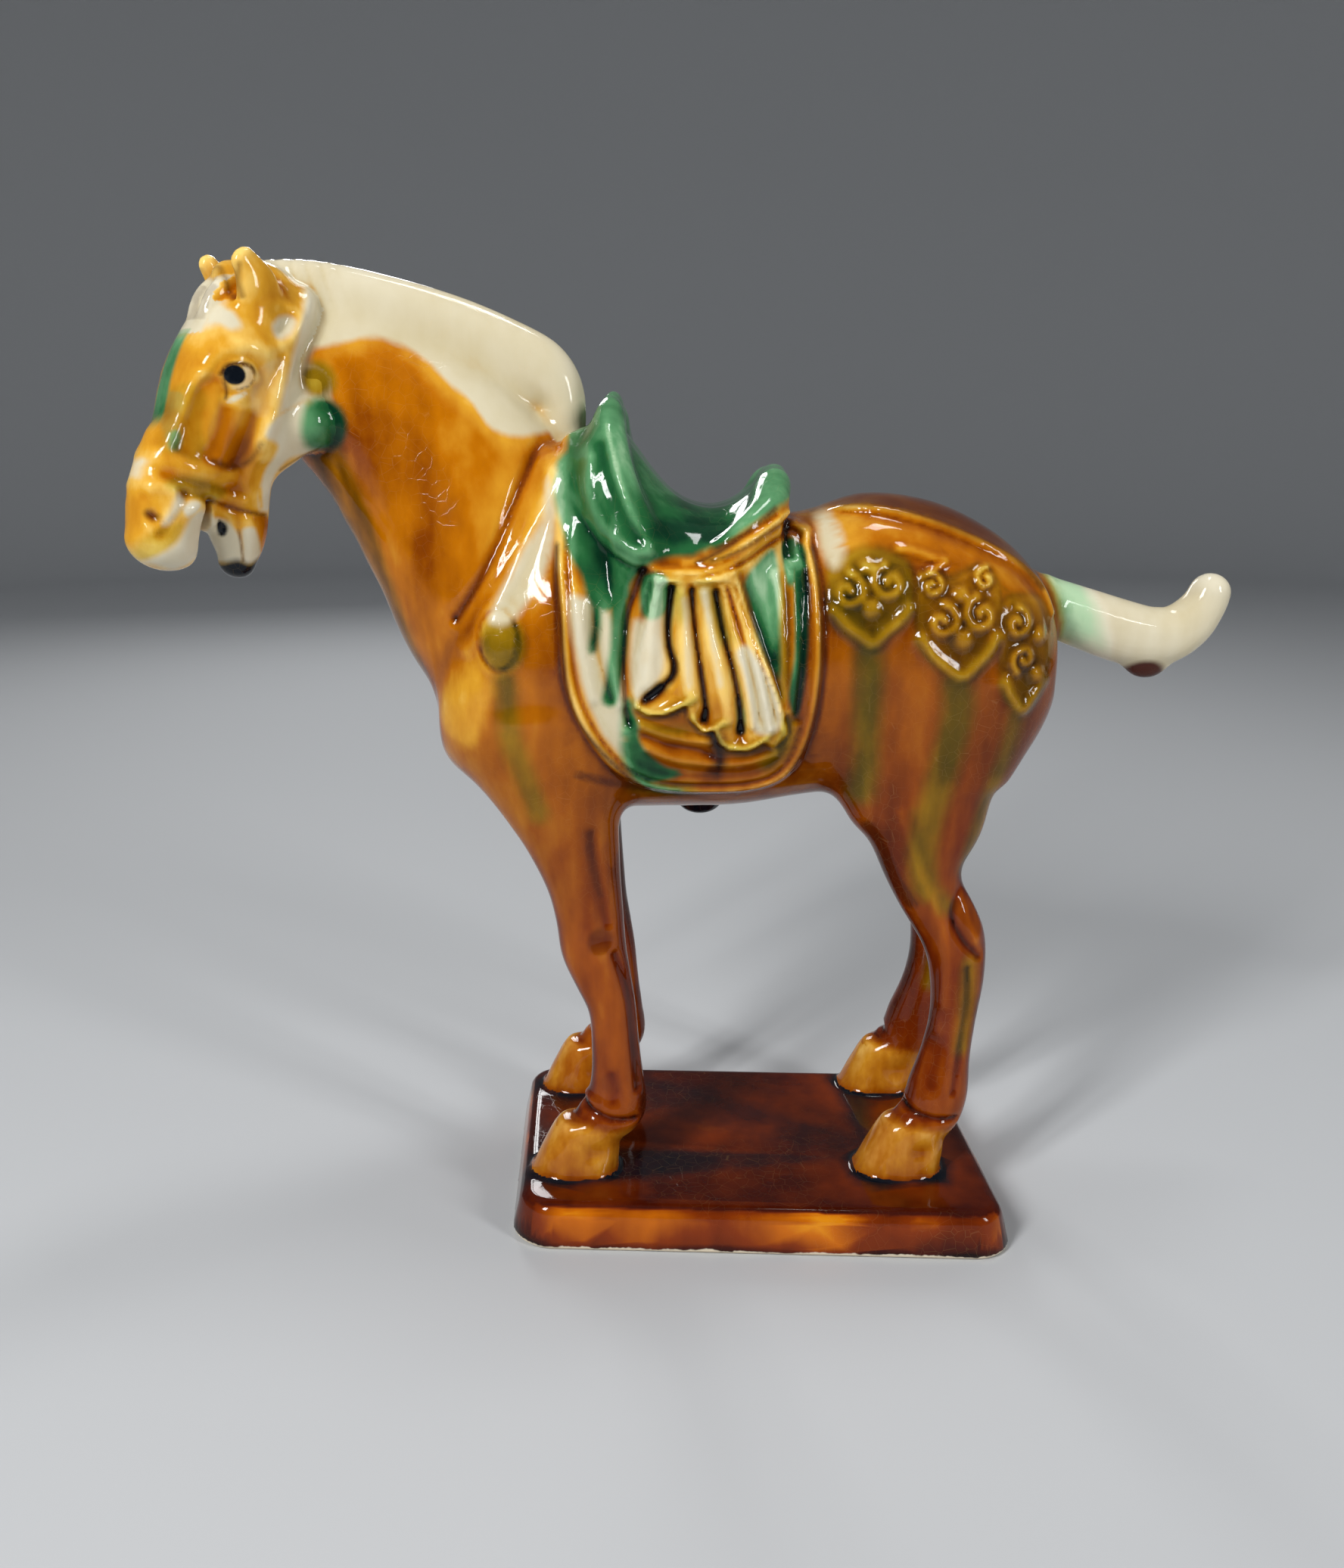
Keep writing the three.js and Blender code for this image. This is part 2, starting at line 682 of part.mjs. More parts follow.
function makeSlab() {
  const levels = [
    [0, slabFlare - 0.9],
    [1.1, slabFlare],
    [slabHeight - slabEdge, 0.5],
    [slabHeight - slabEdge * 0.3, -slabEdge * 0.45 + 0.4],
    [slabHeight, -slabEdge],
  ];
  const cornerSteps = 5;
  return skin(
    levels.map(([z, grow]) => {
      const halfLong = slabLength / 2 + grow;
      const halfDeep = slabDepth / 2 + grow;
      const radius = slabCorner + grow;
      const ring = [];
      for (let corner = 0; corner < 4; corner++) {
        const signX = corner === 0 || corner === 3 ? 1 : -1;
        const signY = corner < 2 ? 1 : -1;
        for (let k = 0; k <= cornerSteps; k++) {
          const angle = (corner + k / cornerSteps) * (Math.PI / 2);
          const x = signX * (halfLong - radius) + radius * Math.cos(angle);
          const y = signY * (halfDeep - radius) + radius * Math.sin(angle);
          ring.push(new THREE.Vector3(x + slabSkewAcross * y, y + slabSkewAlong * x, z));
        }
      }
      return ring;
    }),
  );
}

const horse = joinAll([
  makeTrunk(),
  ...makeNeck(),
  ...makeHead(),
  ...makeLegs(),
  ...makeTail(),
  ...makeSaddle(),
  ...makeBlanket(),
  ...makeHarness(),
])
  .scale(unit)
  .translate([horseX, horseY, slabHeight]);

const cast = joinAll([horse, makeSlab()]);

function geometryOf(form) {
  const mesh = form.getMesh();
  const points = new Float32Array(mesh.numVert * 3);
  for (let i = 0; i < mesh.numVert; i++)
    points.set(mesh.vertProperties.subarray(i * mesh.numProp, i * mesh.numProp + 3), i * 3);
  const geometry = new THREE.BufferGeometry()
    .setAttribute("position", new THREE.BufferAttribute(points, 3))
    .setIndex(new THREE.BufferAttribute(mesh.triVerts, 1));
  geometry.computeVertexNormals();
  return geometry;
}

const glaze = new THREE.MeshStandardMaterial({ color: 0xb5660f, roughness: 0.12, metalness: 0 });
const tombHorse = new THREE.Mesh(geometryOf(cast), glaze);
tombHorse.name = "tomb_horse";

const model = new THREE.Group();
model.add(tombHorse);

export default model;
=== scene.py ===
import math

import bpy
import numpy as np
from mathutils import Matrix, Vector


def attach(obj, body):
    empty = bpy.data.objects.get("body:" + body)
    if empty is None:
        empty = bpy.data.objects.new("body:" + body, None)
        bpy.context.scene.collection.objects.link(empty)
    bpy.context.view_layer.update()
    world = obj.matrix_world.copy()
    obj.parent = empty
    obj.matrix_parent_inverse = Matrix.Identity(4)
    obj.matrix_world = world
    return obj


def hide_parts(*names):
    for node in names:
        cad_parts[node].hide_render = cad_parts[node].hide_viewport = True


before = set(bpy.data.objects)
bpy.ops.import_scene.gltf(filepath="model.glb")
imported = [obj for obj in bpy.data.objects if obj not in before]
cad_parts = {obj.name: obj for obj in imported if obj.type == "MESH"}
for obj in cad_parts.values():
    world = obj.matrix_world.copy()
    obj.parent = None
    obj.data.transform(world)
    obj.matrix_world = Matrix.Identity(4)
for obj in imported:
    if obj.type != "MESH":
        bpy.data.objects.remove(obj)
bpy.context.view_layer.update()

# the photograph is 2072 pixels tall, and its lens is 1780 pixels long
SENSOR = 36
DOWNWARD = 14.52
lens = bpy.data.cameras.new("lens")
lens.sensor_width = SENSOR
lens.lens = SENSOR * 1780 / 2072
lens.clip_start = 0.01
camera = bpy.data.objects.new("camera", lens)
camera.location = (-0.0176, -0.2886, 0.170)
camera.rotation_euler = (math.radians(90 - DOWNWARD), 0, 0)
bpy.context.scene.collection.objects.link(camera)
bpy.context.scene.camera = camera
bpy.context.scene.view_settings.view_transform = "Standard"


# The body. Trunk and neck are the middle of one hollow slip-cast earthenware form: two plaster moulds, joined
# along the middle of the back and belly. Each form is written as the distance from its skin, below 0 inside,
# so the forms flow into one another as the clay does. The horse's middle plane is y = 0, the slab's top z = 0.
SLAB_TOP = 10.0
HORSE_PLACE = np.array([-0.75, 5.25, SLAB_TOP], np.float32)


def spline(rows, count):
    """A number of places along a smooth curve that passes through every row.

    Between two rows b and c, with a before and d after them, at a share f of the way: b plus half of f times
    (c - a + f (2a - 5b + 4c - d + f (3b - 3c + d - a))).
    """
    rows = np.asarray(rows, float)
    place = np.linspace(0, len(rows) - 1, count)
    i = np.minimum(place.astype(int), len(rows) - 2)
    f = (place - i)[:, None]
    a, b, c, d = (rows[np.clip(i + k, 0, len(rows) - 1)] for k in (-1, 0, 1, 2))
    return b + 0.5 * f * (c - a + f * (2 * a - 5 * b + 4 * c - d + f * (3 * (b - c) + d - a)))


def limb(p, rows, across=(0, 1, 0), square=2.0, cap=(1.0, 1.0), reach=7.0):
    """Distance to a form carried along a line; rows are x, y, z, half size across, half size the other way.

    A point looks up the line's place, directions and sizes as a mean, weighted by e to the power of minus the
    squared distance over a softness. With u and v its offsets over the two half sizes, its oval distance rho is
    (u^n + v^n)^(1/n), where n is square, and past the ends the way beyond is added, over the size times the cap.
    The distance is that from the line, times 1 - 1 / rho. Only points within the reach are worked out.
    """
    rows = np.asarray(rows, float)
    length = np.linalg.norm(np.diff(rows[:, :3], axis=0), axis=1).sum()
    count = int(np.clip(length / 1.3, 10, 120))
    line = spline(rows, count)
    size = line[:, 3:5].max() + reach
    low, high = line[:, :3].min(0) - size, line[:, :3].max(0) + size
    near = np.flatnonzero(((p > low) & (p < high)).all(1))
    out = np.full(len(p), 99.0, np.float32)
    if not len(near):
        return out
    middle = line[:, :3].mean(0)
    centre = line[:, :3] - middle
    tangent = np.gradient(centre, axis=0)
    tangent /= np.linalg.norm(tangent, axis=1, keepdims=True)
    side = np.asarray(across, float) - (tangent @ np.asarray(across, float))[:, None] * tangent
    side /= np.linalg.norm(side, axis=1, keepdims=True)
    up = np.cross(tangent, side)
    share = np.linspace(0, 1, count)[:, None]
    table = np.hstack([centre, side, up, line[:, 3:5], share]).astype(np.float32)
    softness = 2.0 * (length / (count - 1) * 1.15) ** 2
    centre_squared = (centre**2).sum(1).astype(np.float32)
    for start in range(0, len(near), 40000):
        pick = near[start : start + 40000]
        q = (p[pick] - middle).astype(np.float32)
        weight = (q @ (-2 * centre.T.astype(np.float32)) + centre_squared) * (-1 / softness)
        weight -= weight.max(1, keepdims=True)
        np.exp(weight, out=weight)
        weight /= weight.sum(1, keepdims=True)
        found = weight @ table
        offset = q - found[:, :3]
        wide, tall, along = found[:, 9], found[:, 10], found[:, 11]
        u = np.abs((offset * found[:, 3:6]).sum(1)) / wide
        v = np.abs((offset * found[:, 6:9]).sum(1)) / tall
        squared = u * u + v * v if square == 2.0 else (u**square + v**square) ** (2 / square)
        thin = np.minimum(wide, tall)
        first = np.maximum(-(q - centre[0]) @ tangent[0], 0) * (along < 0.35)
        last = np.maximum((q - centre[-1]) @ tangent[-1], 0) * (along > 0.65)
        squared = squared + (first / (thin * cap[0])) ** 2 + (last / (thin * cap[1])) ** 2
        rho = np.sqrt(np.maximum(squared, 1e-6))
        out[pick] = np.where(rho > 0.05, np.sqrt((offset * offset).sum(1)) * (1 - 1 / rho), -thin)
    return out


# The trunk's rows are x, bottom, top and half width.
TRUNK = [
    [-67.4, 96, 107, 7], [-65.6, 91, 113.4, 15.5], [-60.5, 86.5, 124, 22.5], [-51, 81.5, 140, 26.5],
    [-38, 80, 147, 28], [-20, 80.4, 145, 28.8], [-3, 80.8, 143.5, 28.8], [11, 83, 144.3, 28],
    [24, 84.4, 148.1, 27.8], [38, 85.4, 146.6, 28], [50, 88.4, 141.2, 26.3], [58.6, 93, 134.2, 21.6],
    [63.4, 99, 126.5, 15.5], [65, 105, 120, 8],
]


def trunk(p):
    """Distance to the barrel, whose sections along x are ovals a little squarer than an ellipse.

    The section's oval distance is (|y / half width|^n + |z / half height|^n)^(1/n), with n = 2.326. The way
    straight out from its middle is shortened by the slope of the barrel's side.
    """
    line = spline([[x, (low + high) / 2, half, (high - low) / 2] for x, low, high, half in TRUNK], 60)
    x = p[:, 0]
    middle, half, tall = (np.interp(x, line[:, 0], line[:, k]).astype(np.float32) for k in (1, 2, 3))
    y, z = p[:, 1], p[:, 2] - middle
    n = 2 / 0.86
    rho = ((np.abs(y) / half) ** n + (np.abs(z) / tall) ** n) ** (1 / n)
    d = np.where(rho > 0.05, np.hypot(y, z) * (1 - 1 / np.maximum(rho, 0.05)), -half)
    slope = np.interp(x, line[:, 0], np.abs(np.gradient(line[:, 2], line[:, 0])))
    d = d / np.sqrt(1 + slope**2)
    beyond = np.maximum(line[0, 0] - x, x - line[-1, 0])
    d = np.where(beyond > 0, np.hypot(np.maximum(d, 0), beyond), np.maximum(d, np.minimum(beyond, 0)))
    return d.astype(np.float32)


MUSCLE = [
    [-42, 0, 116, 24, 27], [-50, 0, 126.5, 23.5, 26.8], [-57.6, 0, 140.2, 20.5, 25.2],
    [-64.6, -0.2, 150.4, 17.4, 23.8], [-72, -0.8, 158, 15, 21.4], [-78.6, -1.6, 163.4, 13.4, 18.4],
    [-86, -2.6, 168.6, 12, 16], [-93, -3.7, 172.2, 11.4, 14], [-98, -4.6, 173.4, 10.8, 12],
]


# The legs and hooves. They are cast in the same moulds, and the hooves are luted to the slab with slip.
# The left and right legs are alike, but the right ones stand a little wider along the slab.
FORE = [
    [-43, 14, 100, 12, 17], [-42, 15.5, 90, 11, 14.4], [-38.5, 17, 78, 8.6, 10.6], [-35.9, 17.6, 67, 7, 8.1],
    [-34.6, 17.8, 58, 6.2, 7.3], [-34, 18, 51.8, 6.4, 7.1], [-32, 18.4, 45, 5.6, 6.2], [-30, 18.8, 38, 4.8, 5.2],
    [-29.3, 19.3, 29, 4.7, 5.3], [-29, 19.6, 21, 5.2, 5.9], [-29.6, 19.9, 15, 5.9, 6.9],
    [-33.5, 20.1, 10.6, 5.6, 5.8], [-36.5, 20.2, 6, 5.2, 5.4],
]
HIND = [
    [40, 12, 110, 13, 20], [37.6, 13.5, 98, 13.2, 20], [36, 14.6, 87.6, 11.2, 17.6], [37.2, 15.2, 78.5, 8.6, 13.2],
    [37.6, 15.2, 70, 6.8, 9], [39.4, 15.1, 63.7, 6, 7.2], [42.6, 15.2, 58.2, 5.8, 7], [45.2, 15.6, 52.6, 5.8, 6.7],
    [46, 16.6, 44.5, 5, 5.9], [45.3, 17.6, 35.4, 4.6, 5.1], [43.9, 18.6, 27.1, 4.8, 5.5],
    [42.4, 19.4, 19, 5.6, 6.8], [41, 19.9, 13.6, 5.7, 6.4], [37, 20.1, 9.6, 5.4, 5.6], [35.4, 20.2, 6, 5.2, 5.4],
]


def join(a, b, fillet):
    """Two forms in one: the lesser distance, with the seam filled to a quarter of the fillet's size."""
    h = np.maximum(fillet - np.abs(a - b), 0) / fillet
    return np.minimum(a, b) - h * h * fillet * 0.25


def pare(a, b, fillet):
    """What lies inside both forms: the greater distance, with the edge rounded off in the same way."""
    return -join(-a, -b, fillet)


def step(x, a, b):
    """0 up to a, 1 from b on, eased in between: t * t * (3 - 2 t), where t is the share of the way."""
    t = np.clip((x - a) / (b - a), 0, 1)
    return t * t * (3 - 2 * t)


def bump(d, width):
    """The bell curve of a distance: e to the power of minus (distance / width) squared."""
    return np.exp(-((d / width) ** 2))


def path(points, x, z, count=24):
    """Distance in a plane from a smooth line, and the share of the way along it, as the least over its pieces."""
    line = spline(points, count)
    best = np.full(x.shape, 1e9)
    share = np.zeros(x.shape)
    for k in range(count - 1):
        (ax, az), (bx, bz) = line[k, :2], line[k + 1, :2]
        dx, dz = bx - ax, bz - az
        t = np.clip(((x - ax) * dx + (z - az) * dz) / (dx * dx + dz * dz), 0, 1)
        d = (x - ax - t * dx) ** 2 + (z - az - t * dz) ** 2
        closer = d < best
        best = np.where(closer, d, best)
        share = np.where(closer, (k + t) / (count - 1), share)
    return np.sqrt(best), share


HOOF_HALF = (9.6, 7.2)
HOOF_ASIDE = 20.2


def hoof(p, middle, lean):
    """Distance to a hoof: rounded squares that narrow and lean back with height, a heel bulb, a sloping top."""
    z = p[:, 2]
    share = np.interp(z, [-3, 0.6, 5, 10, 13, 15], [1, 1, 0.92, 0.80, 0.68, 0.4])
    ahead = p[:, 0] - middle - lean * np.clip(z, 0, 14) / 10
    aside = p[:, 1] - HOOF_ASIDE
    x, y = ahead / (HOOF_HALF[0] * share), aside / (HOOF_HALF[1] * share)
    n = 2.35
    rho = (np.abs(x) ** n + np.abs(y) ** n) ** (1 / n)
    d = np.where(rho > 0.05, np.hypot(ahead, aside) * (1 - 1 / np.maximum(rho, 0.05)), -7.0)
    d += 0.9 * np.exp(-((p[:, 0] - middle - 4.6) / 2.6) ** 2 - ((z - 6.4) / 2.6) ** 2)
    return pare(d, z - 12.4 + 0.12 * (p[:, 0] - middle), 1.6).astype(np.float32)


# Grooves of the legs' outer sides, as rows of depth, width and points x, z. Fore: the long groove, the tendon,
# the fetlock and the pastern. Hind: the hock's facet, the tendon, the fetlock, the front face and the pastern.
FORE_GROOVES = [
    (0.7, 1.4, [(-33.9, 79.2), (-33.2, 73.3), (-32.6, 67.9), (-31.8, 63.3), (-31.2, 58.7)]),
    (0.6, 0.9, [(-29.4, 52), (-27.8, 47.3), (-26.2, 40.6), (-25.3, 30.6), (-24.6, 20.6)]),
    (0.55, 1.5, [(-30.0, 24), (-29.3, 20.6), (-29.6, 18.4)]),
    (1.0, 0.9, [(-36.6, 16.8), (-33.4, 15.4), (-29.9, 14.2), (-25.4, 13.6)]),
]
HIND_GROOVES = [
    (0.8, 0.8, [(45.0, 65.4), (43.3, 60.2), (45.6, 54.8), (49.6, 50.5)]),
    (-0.5, 1.4, [(46.6, 62), (47.0, 58), (49.0, 54.4)]),
    (0.6, 0.8, [(47.2, 48), (47.4, 40), (46.2, 30), (44.8, 20)]),
    (0.6, 1.5, [(41.1, 31.2), (40.4, 26.4), (40.0, 21.6)]),
    (-0.5, 1.6, [(30.4, 84), (34.8, 72), (40.4, 60), (42.6, 50), (42.4, 40)]),
    (1.0, 0.9, [(33.4, 16.8), (36.4, 15.2), (40.4, 14.2), (45.4, 13.6)]),
]
KNEE = (-31.9, 55.2)


def folds(x, z, rows, count=16, h=0.0, share=1.0):
    """Height in mm, on top of h, of the folds and swellings in the rows; grooves and dimples are below 0.

    A fold's row is its height, width and points: the height times the share times the bell curve of the distance
    from its smooth line over the width. A swelling's row is its height, middle x and z, two half sizes, turn in
    degrees and steepness: the height times e to the power of minus the turned oval's squared distance,
    (u / one half size)^2 + (v / the other)^2, itself raised to the steepness.
    """
    for height, *form in rows:
        if len(form) == 2:
            width, points = form
            h = h + height * share * bump(path(points, x, z, count)[0], width)
        else:
            middle_x, middle_z, wide, tall, turn, steep = form
            c, s = np.cos(np.radians(turn)), np.sin(np.radians(turn))
            u = (x - middle_x) * c + (z - middle_z) * s
            v = (z - middle_z) * c - (x - middle_x) * s
            h = h + height * np.exp(-(((u / wide) ** 2 + (v / tall) ** 2) ** steep))
    return h


def legs(p):
    """All four legs: each side's limbs with their hooves, grooved on the outer side only."""
    out = np.full(len(p), 99.0, np.float32)
    for side, fore_back, hind_ahead in ((p[:, 1] <= 0, 0.0, 0.0), (p[:, 1] > 0, 1.1, 1.4)):
        pick = np.flatnonzero(side & (p[:, 2] < 125))
        if not len(pick):
            continue
        f = p[pick]
        f[:, 1] = np.abs(f[:, 1])
        h = f.copy()
        f[:, 0] += fore_back
        h[:, 0] -= hind_ahead
        outer = step(f[:, 1], 17.5, 20.5)
        fore = join(limb(f, FORE, cap=(0.6, 0.6)), hoof(f, -38.8, 2.8), 1.2)
        hind = join(limb(h, HIND, cap=(0.6, 0.6)), hoof(h, 33.6, 3.0), 1.2)
        near = np.abs(fore) < 4
        knee = np.hypot(f[near, 0] - KNEE[0], f[near, 2] - KNEE[1])
        dimple = 0.6 * bump(knee, 1.9) - 0.15 * bump(knee - 3.2, 1.2)
        fore[near] += (folds(f[near, 0], f[near, 2], FORE_GROOVES, 24) + dimple) * outer[near]
        near = np.abs(hind) < 4
        hind[near] += folds(h[near, 0], h[near, 2], HIND_GROOVES, 24) * outer[near]
        out[pick] = np.minimum(fore, hind)
    return out


# The tail. A short docked and bound tail of solid clay, pressed in the same moulds as the body.
# It curls up at its end, and its tip stands clear of the rump.
TAIL = [
    [58, 0, 125.6, 7, 6.4], [65, 0, 124.0, 6.7, 6.2], [74, 0, 120.9, 6.4, 6.6], [83, 0, 118.0, 6.2, 6.8],
    [90.5, 0, 117.2, 5.8, 6.1], [96, 0, 120.2, 5.2, 5.4], [99.4, 0, 125, 4.5, 4.6], [100, 0, 127, 4.0, 4.2],
]


# The head. It turns 45 degrees towards the viewer. Its modelling, the bridle and the eye are pressed from the
# mould, so they are a height over the plain form, worked out in the plane of the head.
HEAD_PIVOT = (-92.0, -3.5)
HEAD_TURN = np.radians(45)
SKULL = [
    [-99, 0, 181, 9.4, 9.6], [-104.6, 0, 178, 10.8, 11.0], [-108.7, 0, 172, 11.2, 11.7],
    [-112.6, 0, 165.4, 10, 11.0], [-116.2, 0, 158.6, 8.0, 9.4], [-119.6, 0, 152.4, 6.8, 8.6],
    [-121.4, 0, 148.4, 6.2, 8.3],
]
MUZZLE = [
    [-119.6, 0, 156, 6.4, 8.9], [-123.2, 0, 149.4, 7.0, 8.5], [-125.2, 0, 142.8, 7.4, 7.5],
    [-126.1, 0, 139.8, 7.2, 7.0],
]
JAW = [
    [-104.6, 0, 164, 8.4, 9.4], [-108.6, 0, 154.4, 6.8, 7.0], [-110.1, 0, 147, 5.8, 6.6],
    [-110.3, 0, 141, 5.2, 6.1], [-110.5, 0, 137, 4.2, 4.7], [-111.2, 0, 134.4, 3.0, 3.0],
]
JOWL = [[-103.4, 0, 164.4, 9.4, 10.4], [-103.4, 5.5, 164.4, 9, 10.0]]
TUFT = [[-101, 0, 187.8, 5.4, 5.4], [-104.6, 0, 189.2, 5, 4.8], [-108, 0, 189.6, 3.6, 3.2]]
NEAR_EAR = [
    [-105.6, -7.0, 182.4, 3.0, 5.0], [-106.4, -7.7, 187.6, 2.7, 4.7], [-108.0, -7.9, 191.2, 2.1, 3.4],
    [-109.1, -7.8, 192.7, 1.5, 2.0],
]
FAR_EAR = [
    [-104.6, 7.0, 183.4, 2.8, 3.0], [-105.6, 7.2, 188, 2.6, 2.8], [-107.5, 7.2, 191.5, 2.1, 2.4],
    [-108.5, 7.2, 192.8, 1.5, 1.6],
]
EAR_HOLLOW = [[-112.4, 6.4, 191.6, 0.8, 0.9], [-111.6, 6.4, 188.8, 1.2, 1.4], [-110.6, 6.4, 186.0, 0.9, 1.1]]
FORELOCK = [
    [-106.5, 2.1, 189.9, 1.9, 2.2], [-111.0, 2.3, 187.4, 2.1, 1.9], [-113.7, 2.3, 184.4, 1.9, 1.6],
    [-114.9, 2.0, 182, 1.4, 1.0],
]
BELL = [[-96.7, 7.6, 163.0, 5.2, 5.4], [-96.7, 8.2, 162.2, 5.0, 5.4]]
BELL_KNOB = [[-95.4, 8.4, 168.0, 2.2, 2.2], [-95.6, 9.2, 169.4, 2.0, 2.0]]
MOUTH = [(-118.5, 147.4), (-119.0, 144.6), (-119.4, 141.0), (-119.2, 137.0), (-118.6, 132.0)]
# The face's folds and swellings, in the plane of the head: above the noseband, below it, and to the rear.
UPPER_FACE = [
    # brow, eye socket, eyeball and lids
    (1.0, 1.9, [(-118.6, 172.0), (-117.0, 174.2), (-114.2, 175.6), (-110.6, 176.3), (-107.2, 175.2)]),
    (-0.7, -113.0, 171.2, 5.0, 4.0, -6, 1.2), (1.0, -113.0, 171.0, 3.0, 2.5, -6, 2.0),
    (0.5, 0.7, [(-116.0, 171.0), (-115.1, 172.5), (-113.3, 173.6), (-111.4, 173.5), (-110.0, 172.3),
        (-109.5, 170.7)]),
    (0.3, 0.6, [(-115.5, 169.7), (-114.8, 169.0), (-113.4, 168.5), (-111.6, 168.9), (-110.0, 170.0)]),
    (0.4, 0.8, [(-115.4, 167.2), (-114.0, 166.6), (-112.4, 167.2), (-111.0, 168.2)]),
    # nose ridge, groove from the eye's inner corner, the cheek's facets
    (0.8, 1.2, [(-119.6, 171.0), (-121.2, 168.4), (-122.5, 165.2), (-124.1, 161.5), (-126.0, 158.0)]),
    (-0.5, 1.9, [(-118.4, 169.0), (-119.8, 165.2), (-121.4, 161.2), (-122.8, 157.8)]),
    (0.25, 1.0, [(-116.6, 168.6), (-117.2, 165.6), (-118.0, 162.4), (-119.2, 158.6)]),
    (-0.45, 1.5, [(-115.6, 167.4), (-116.0, 165.2), (-117.0, 162.0), (-118.2, 158.4), (-119.2, 156.4)]),
    (0.55, 1.9, [(-112.6, 165.0), (-113.8, 162.0), (-115.2, 158.8), (-116.6, 155.8)]),
    (-0.45, 1.5, [(-110.0, 163.4), (-111.8, 158.8), (-114.0, 154.9)]),
    (0.6, 1.4, [(-107.6, 162.6), (-108.9, 157.8), (-109.9, 154.0), (-111.2, 151.0)]),
]
LOWER_FACE = [
    # grooves under the noseband and the roll between them
    (-0.45, 1.2, [(-127.0, 152.6), (-125.0, 151.9), (-121.4, 150.9), (-117.0, 149.7), (-113.0, 149.6)]),
    (-0.7, 0.95, [(-124.8, 149.3), (-121.9, 148.7), (-118.6, 147.8), (-114.7, 146.5), (-111.9, 145.5),
        (-108.8, 144.8), (-105.8, 143.8)]),
    (0.4, 1.1, [(-119.2, 149.6), (-115.0, 148.3), (-111.4, 147.2)]),
    # nostril: wing, hole, groove to the lip; the small roll of the lip
    (0.7, 1.3, [(-130.0, 150.6), (-128.4, 150.8), (-126.6, 150.0), (-125.6, 148.4), (-126.2, 146.6),
        (-128.0, 145.0)]),
    (-1.0, -129.7, 144.9, 1.2, 1.5, -20, 1.0), (0.35, 1.0, [(-131.4, 147.4), (-131.6, 145.2), (-130.8, 143.0)]),
    (-0.5, 0.95, [(-124.1, 149.3), (-125.6, 147.2), (-127.6, 144.6), (-129.4, 141.6)]),
    (0.9, -122.5, 146.3, 2.2, 1.4, 18, 1.2), (-0.6, 1.0, [(-119.6, 147.6), (-117.8, 146.6), (-116.8, 144.6)]),
    # lower jaw
    (-0.9, -115.4, 142.8, 1.0, 1.6, -15, 1.4), (0.4, 1.0, [(-116.6, 142.6), (-115.8, 139.0), (-114.6, 136.6)]),
    (-0.45, 1.0, [(-112.5, 144.2), (-111.9, 140.2), (-111.3, 136.2)]),
]
# the corner below the ear and the jowl's rim
REAR_FACE = [
    (0.8, 1.3, [(-105.9, 185.3), (-102.4, 184.6), (-99.6, 183.2), (-99.4, 181.4), (-101.0, 179.0),
        (-103.4, 176.8)]),
    (-0.6, 1.2, [(-104.0, 182.2), (-102.6, 181.0), (-103.4, 179.6)]),
    (0.5, 1.2, [(-97.2, 157.0), (-100.4, 154.8), (-102.6, 152.9), (-104.7, 151.1), (-106.2, 149.2)]),
]
NOSEBAND = [
    (-130.4, 157.4), (-127.8, 156.4), (-125.8, 155.3), (-123.1, 154.0), (-120.3, 152.9), (-116.8, 152.2),
    (-114.3, 152.2),
]
CHEEK_STRAP = [
    (-94.2, 187.0), (-97.2, 182.4), (-99.6, 178.3), (-102.0, 173.9), (-104.4, 169.1), (-106.1, 164.8),
    (-107.6, 160.2), (-108.2, 156),
]


def head_relief(x, z):
    """Height in mm of the face's modelling and the bridle: folds and swellings, and two flat straps on top.

    The noseband is 0.65 mm high and falls off from 0.3 to 2.8 mm from its line. The cheek strap gets lower and
    narrower from the ear down.
    """
    h = folds(x, z, UPPER_FACE)
    h = h + 0.65 * (1 - step(path(NOSEBAND, x, z, 28)[0], 0.3, 2.8))
    h = folds(x, z, LOWER_FACE, h=h)
    strap, share = path(CHEEK_STRAP, x, z, 30)
    h = h + (1.2 - 0.7 * share) * (1 - step(strap, 0.4, 3.0 - 0.9 * share))
    return folds(x, z, REAR_FACE, h=h)


def head_frame(p):
    """The same points along, across and up in the head's own plane, turned about its pivot."""
    c, s = np.cos(HEAD_TURN), np.sin(HEAD_TURN)
    x, y = p[:, 0] - HEAD_PIVOT[0], p[:, 1] - HEAD_PIVOT[1]
    return x * c + y * s + HEAD_PIVOT[0], -x * s + y * c, p[:, 2]


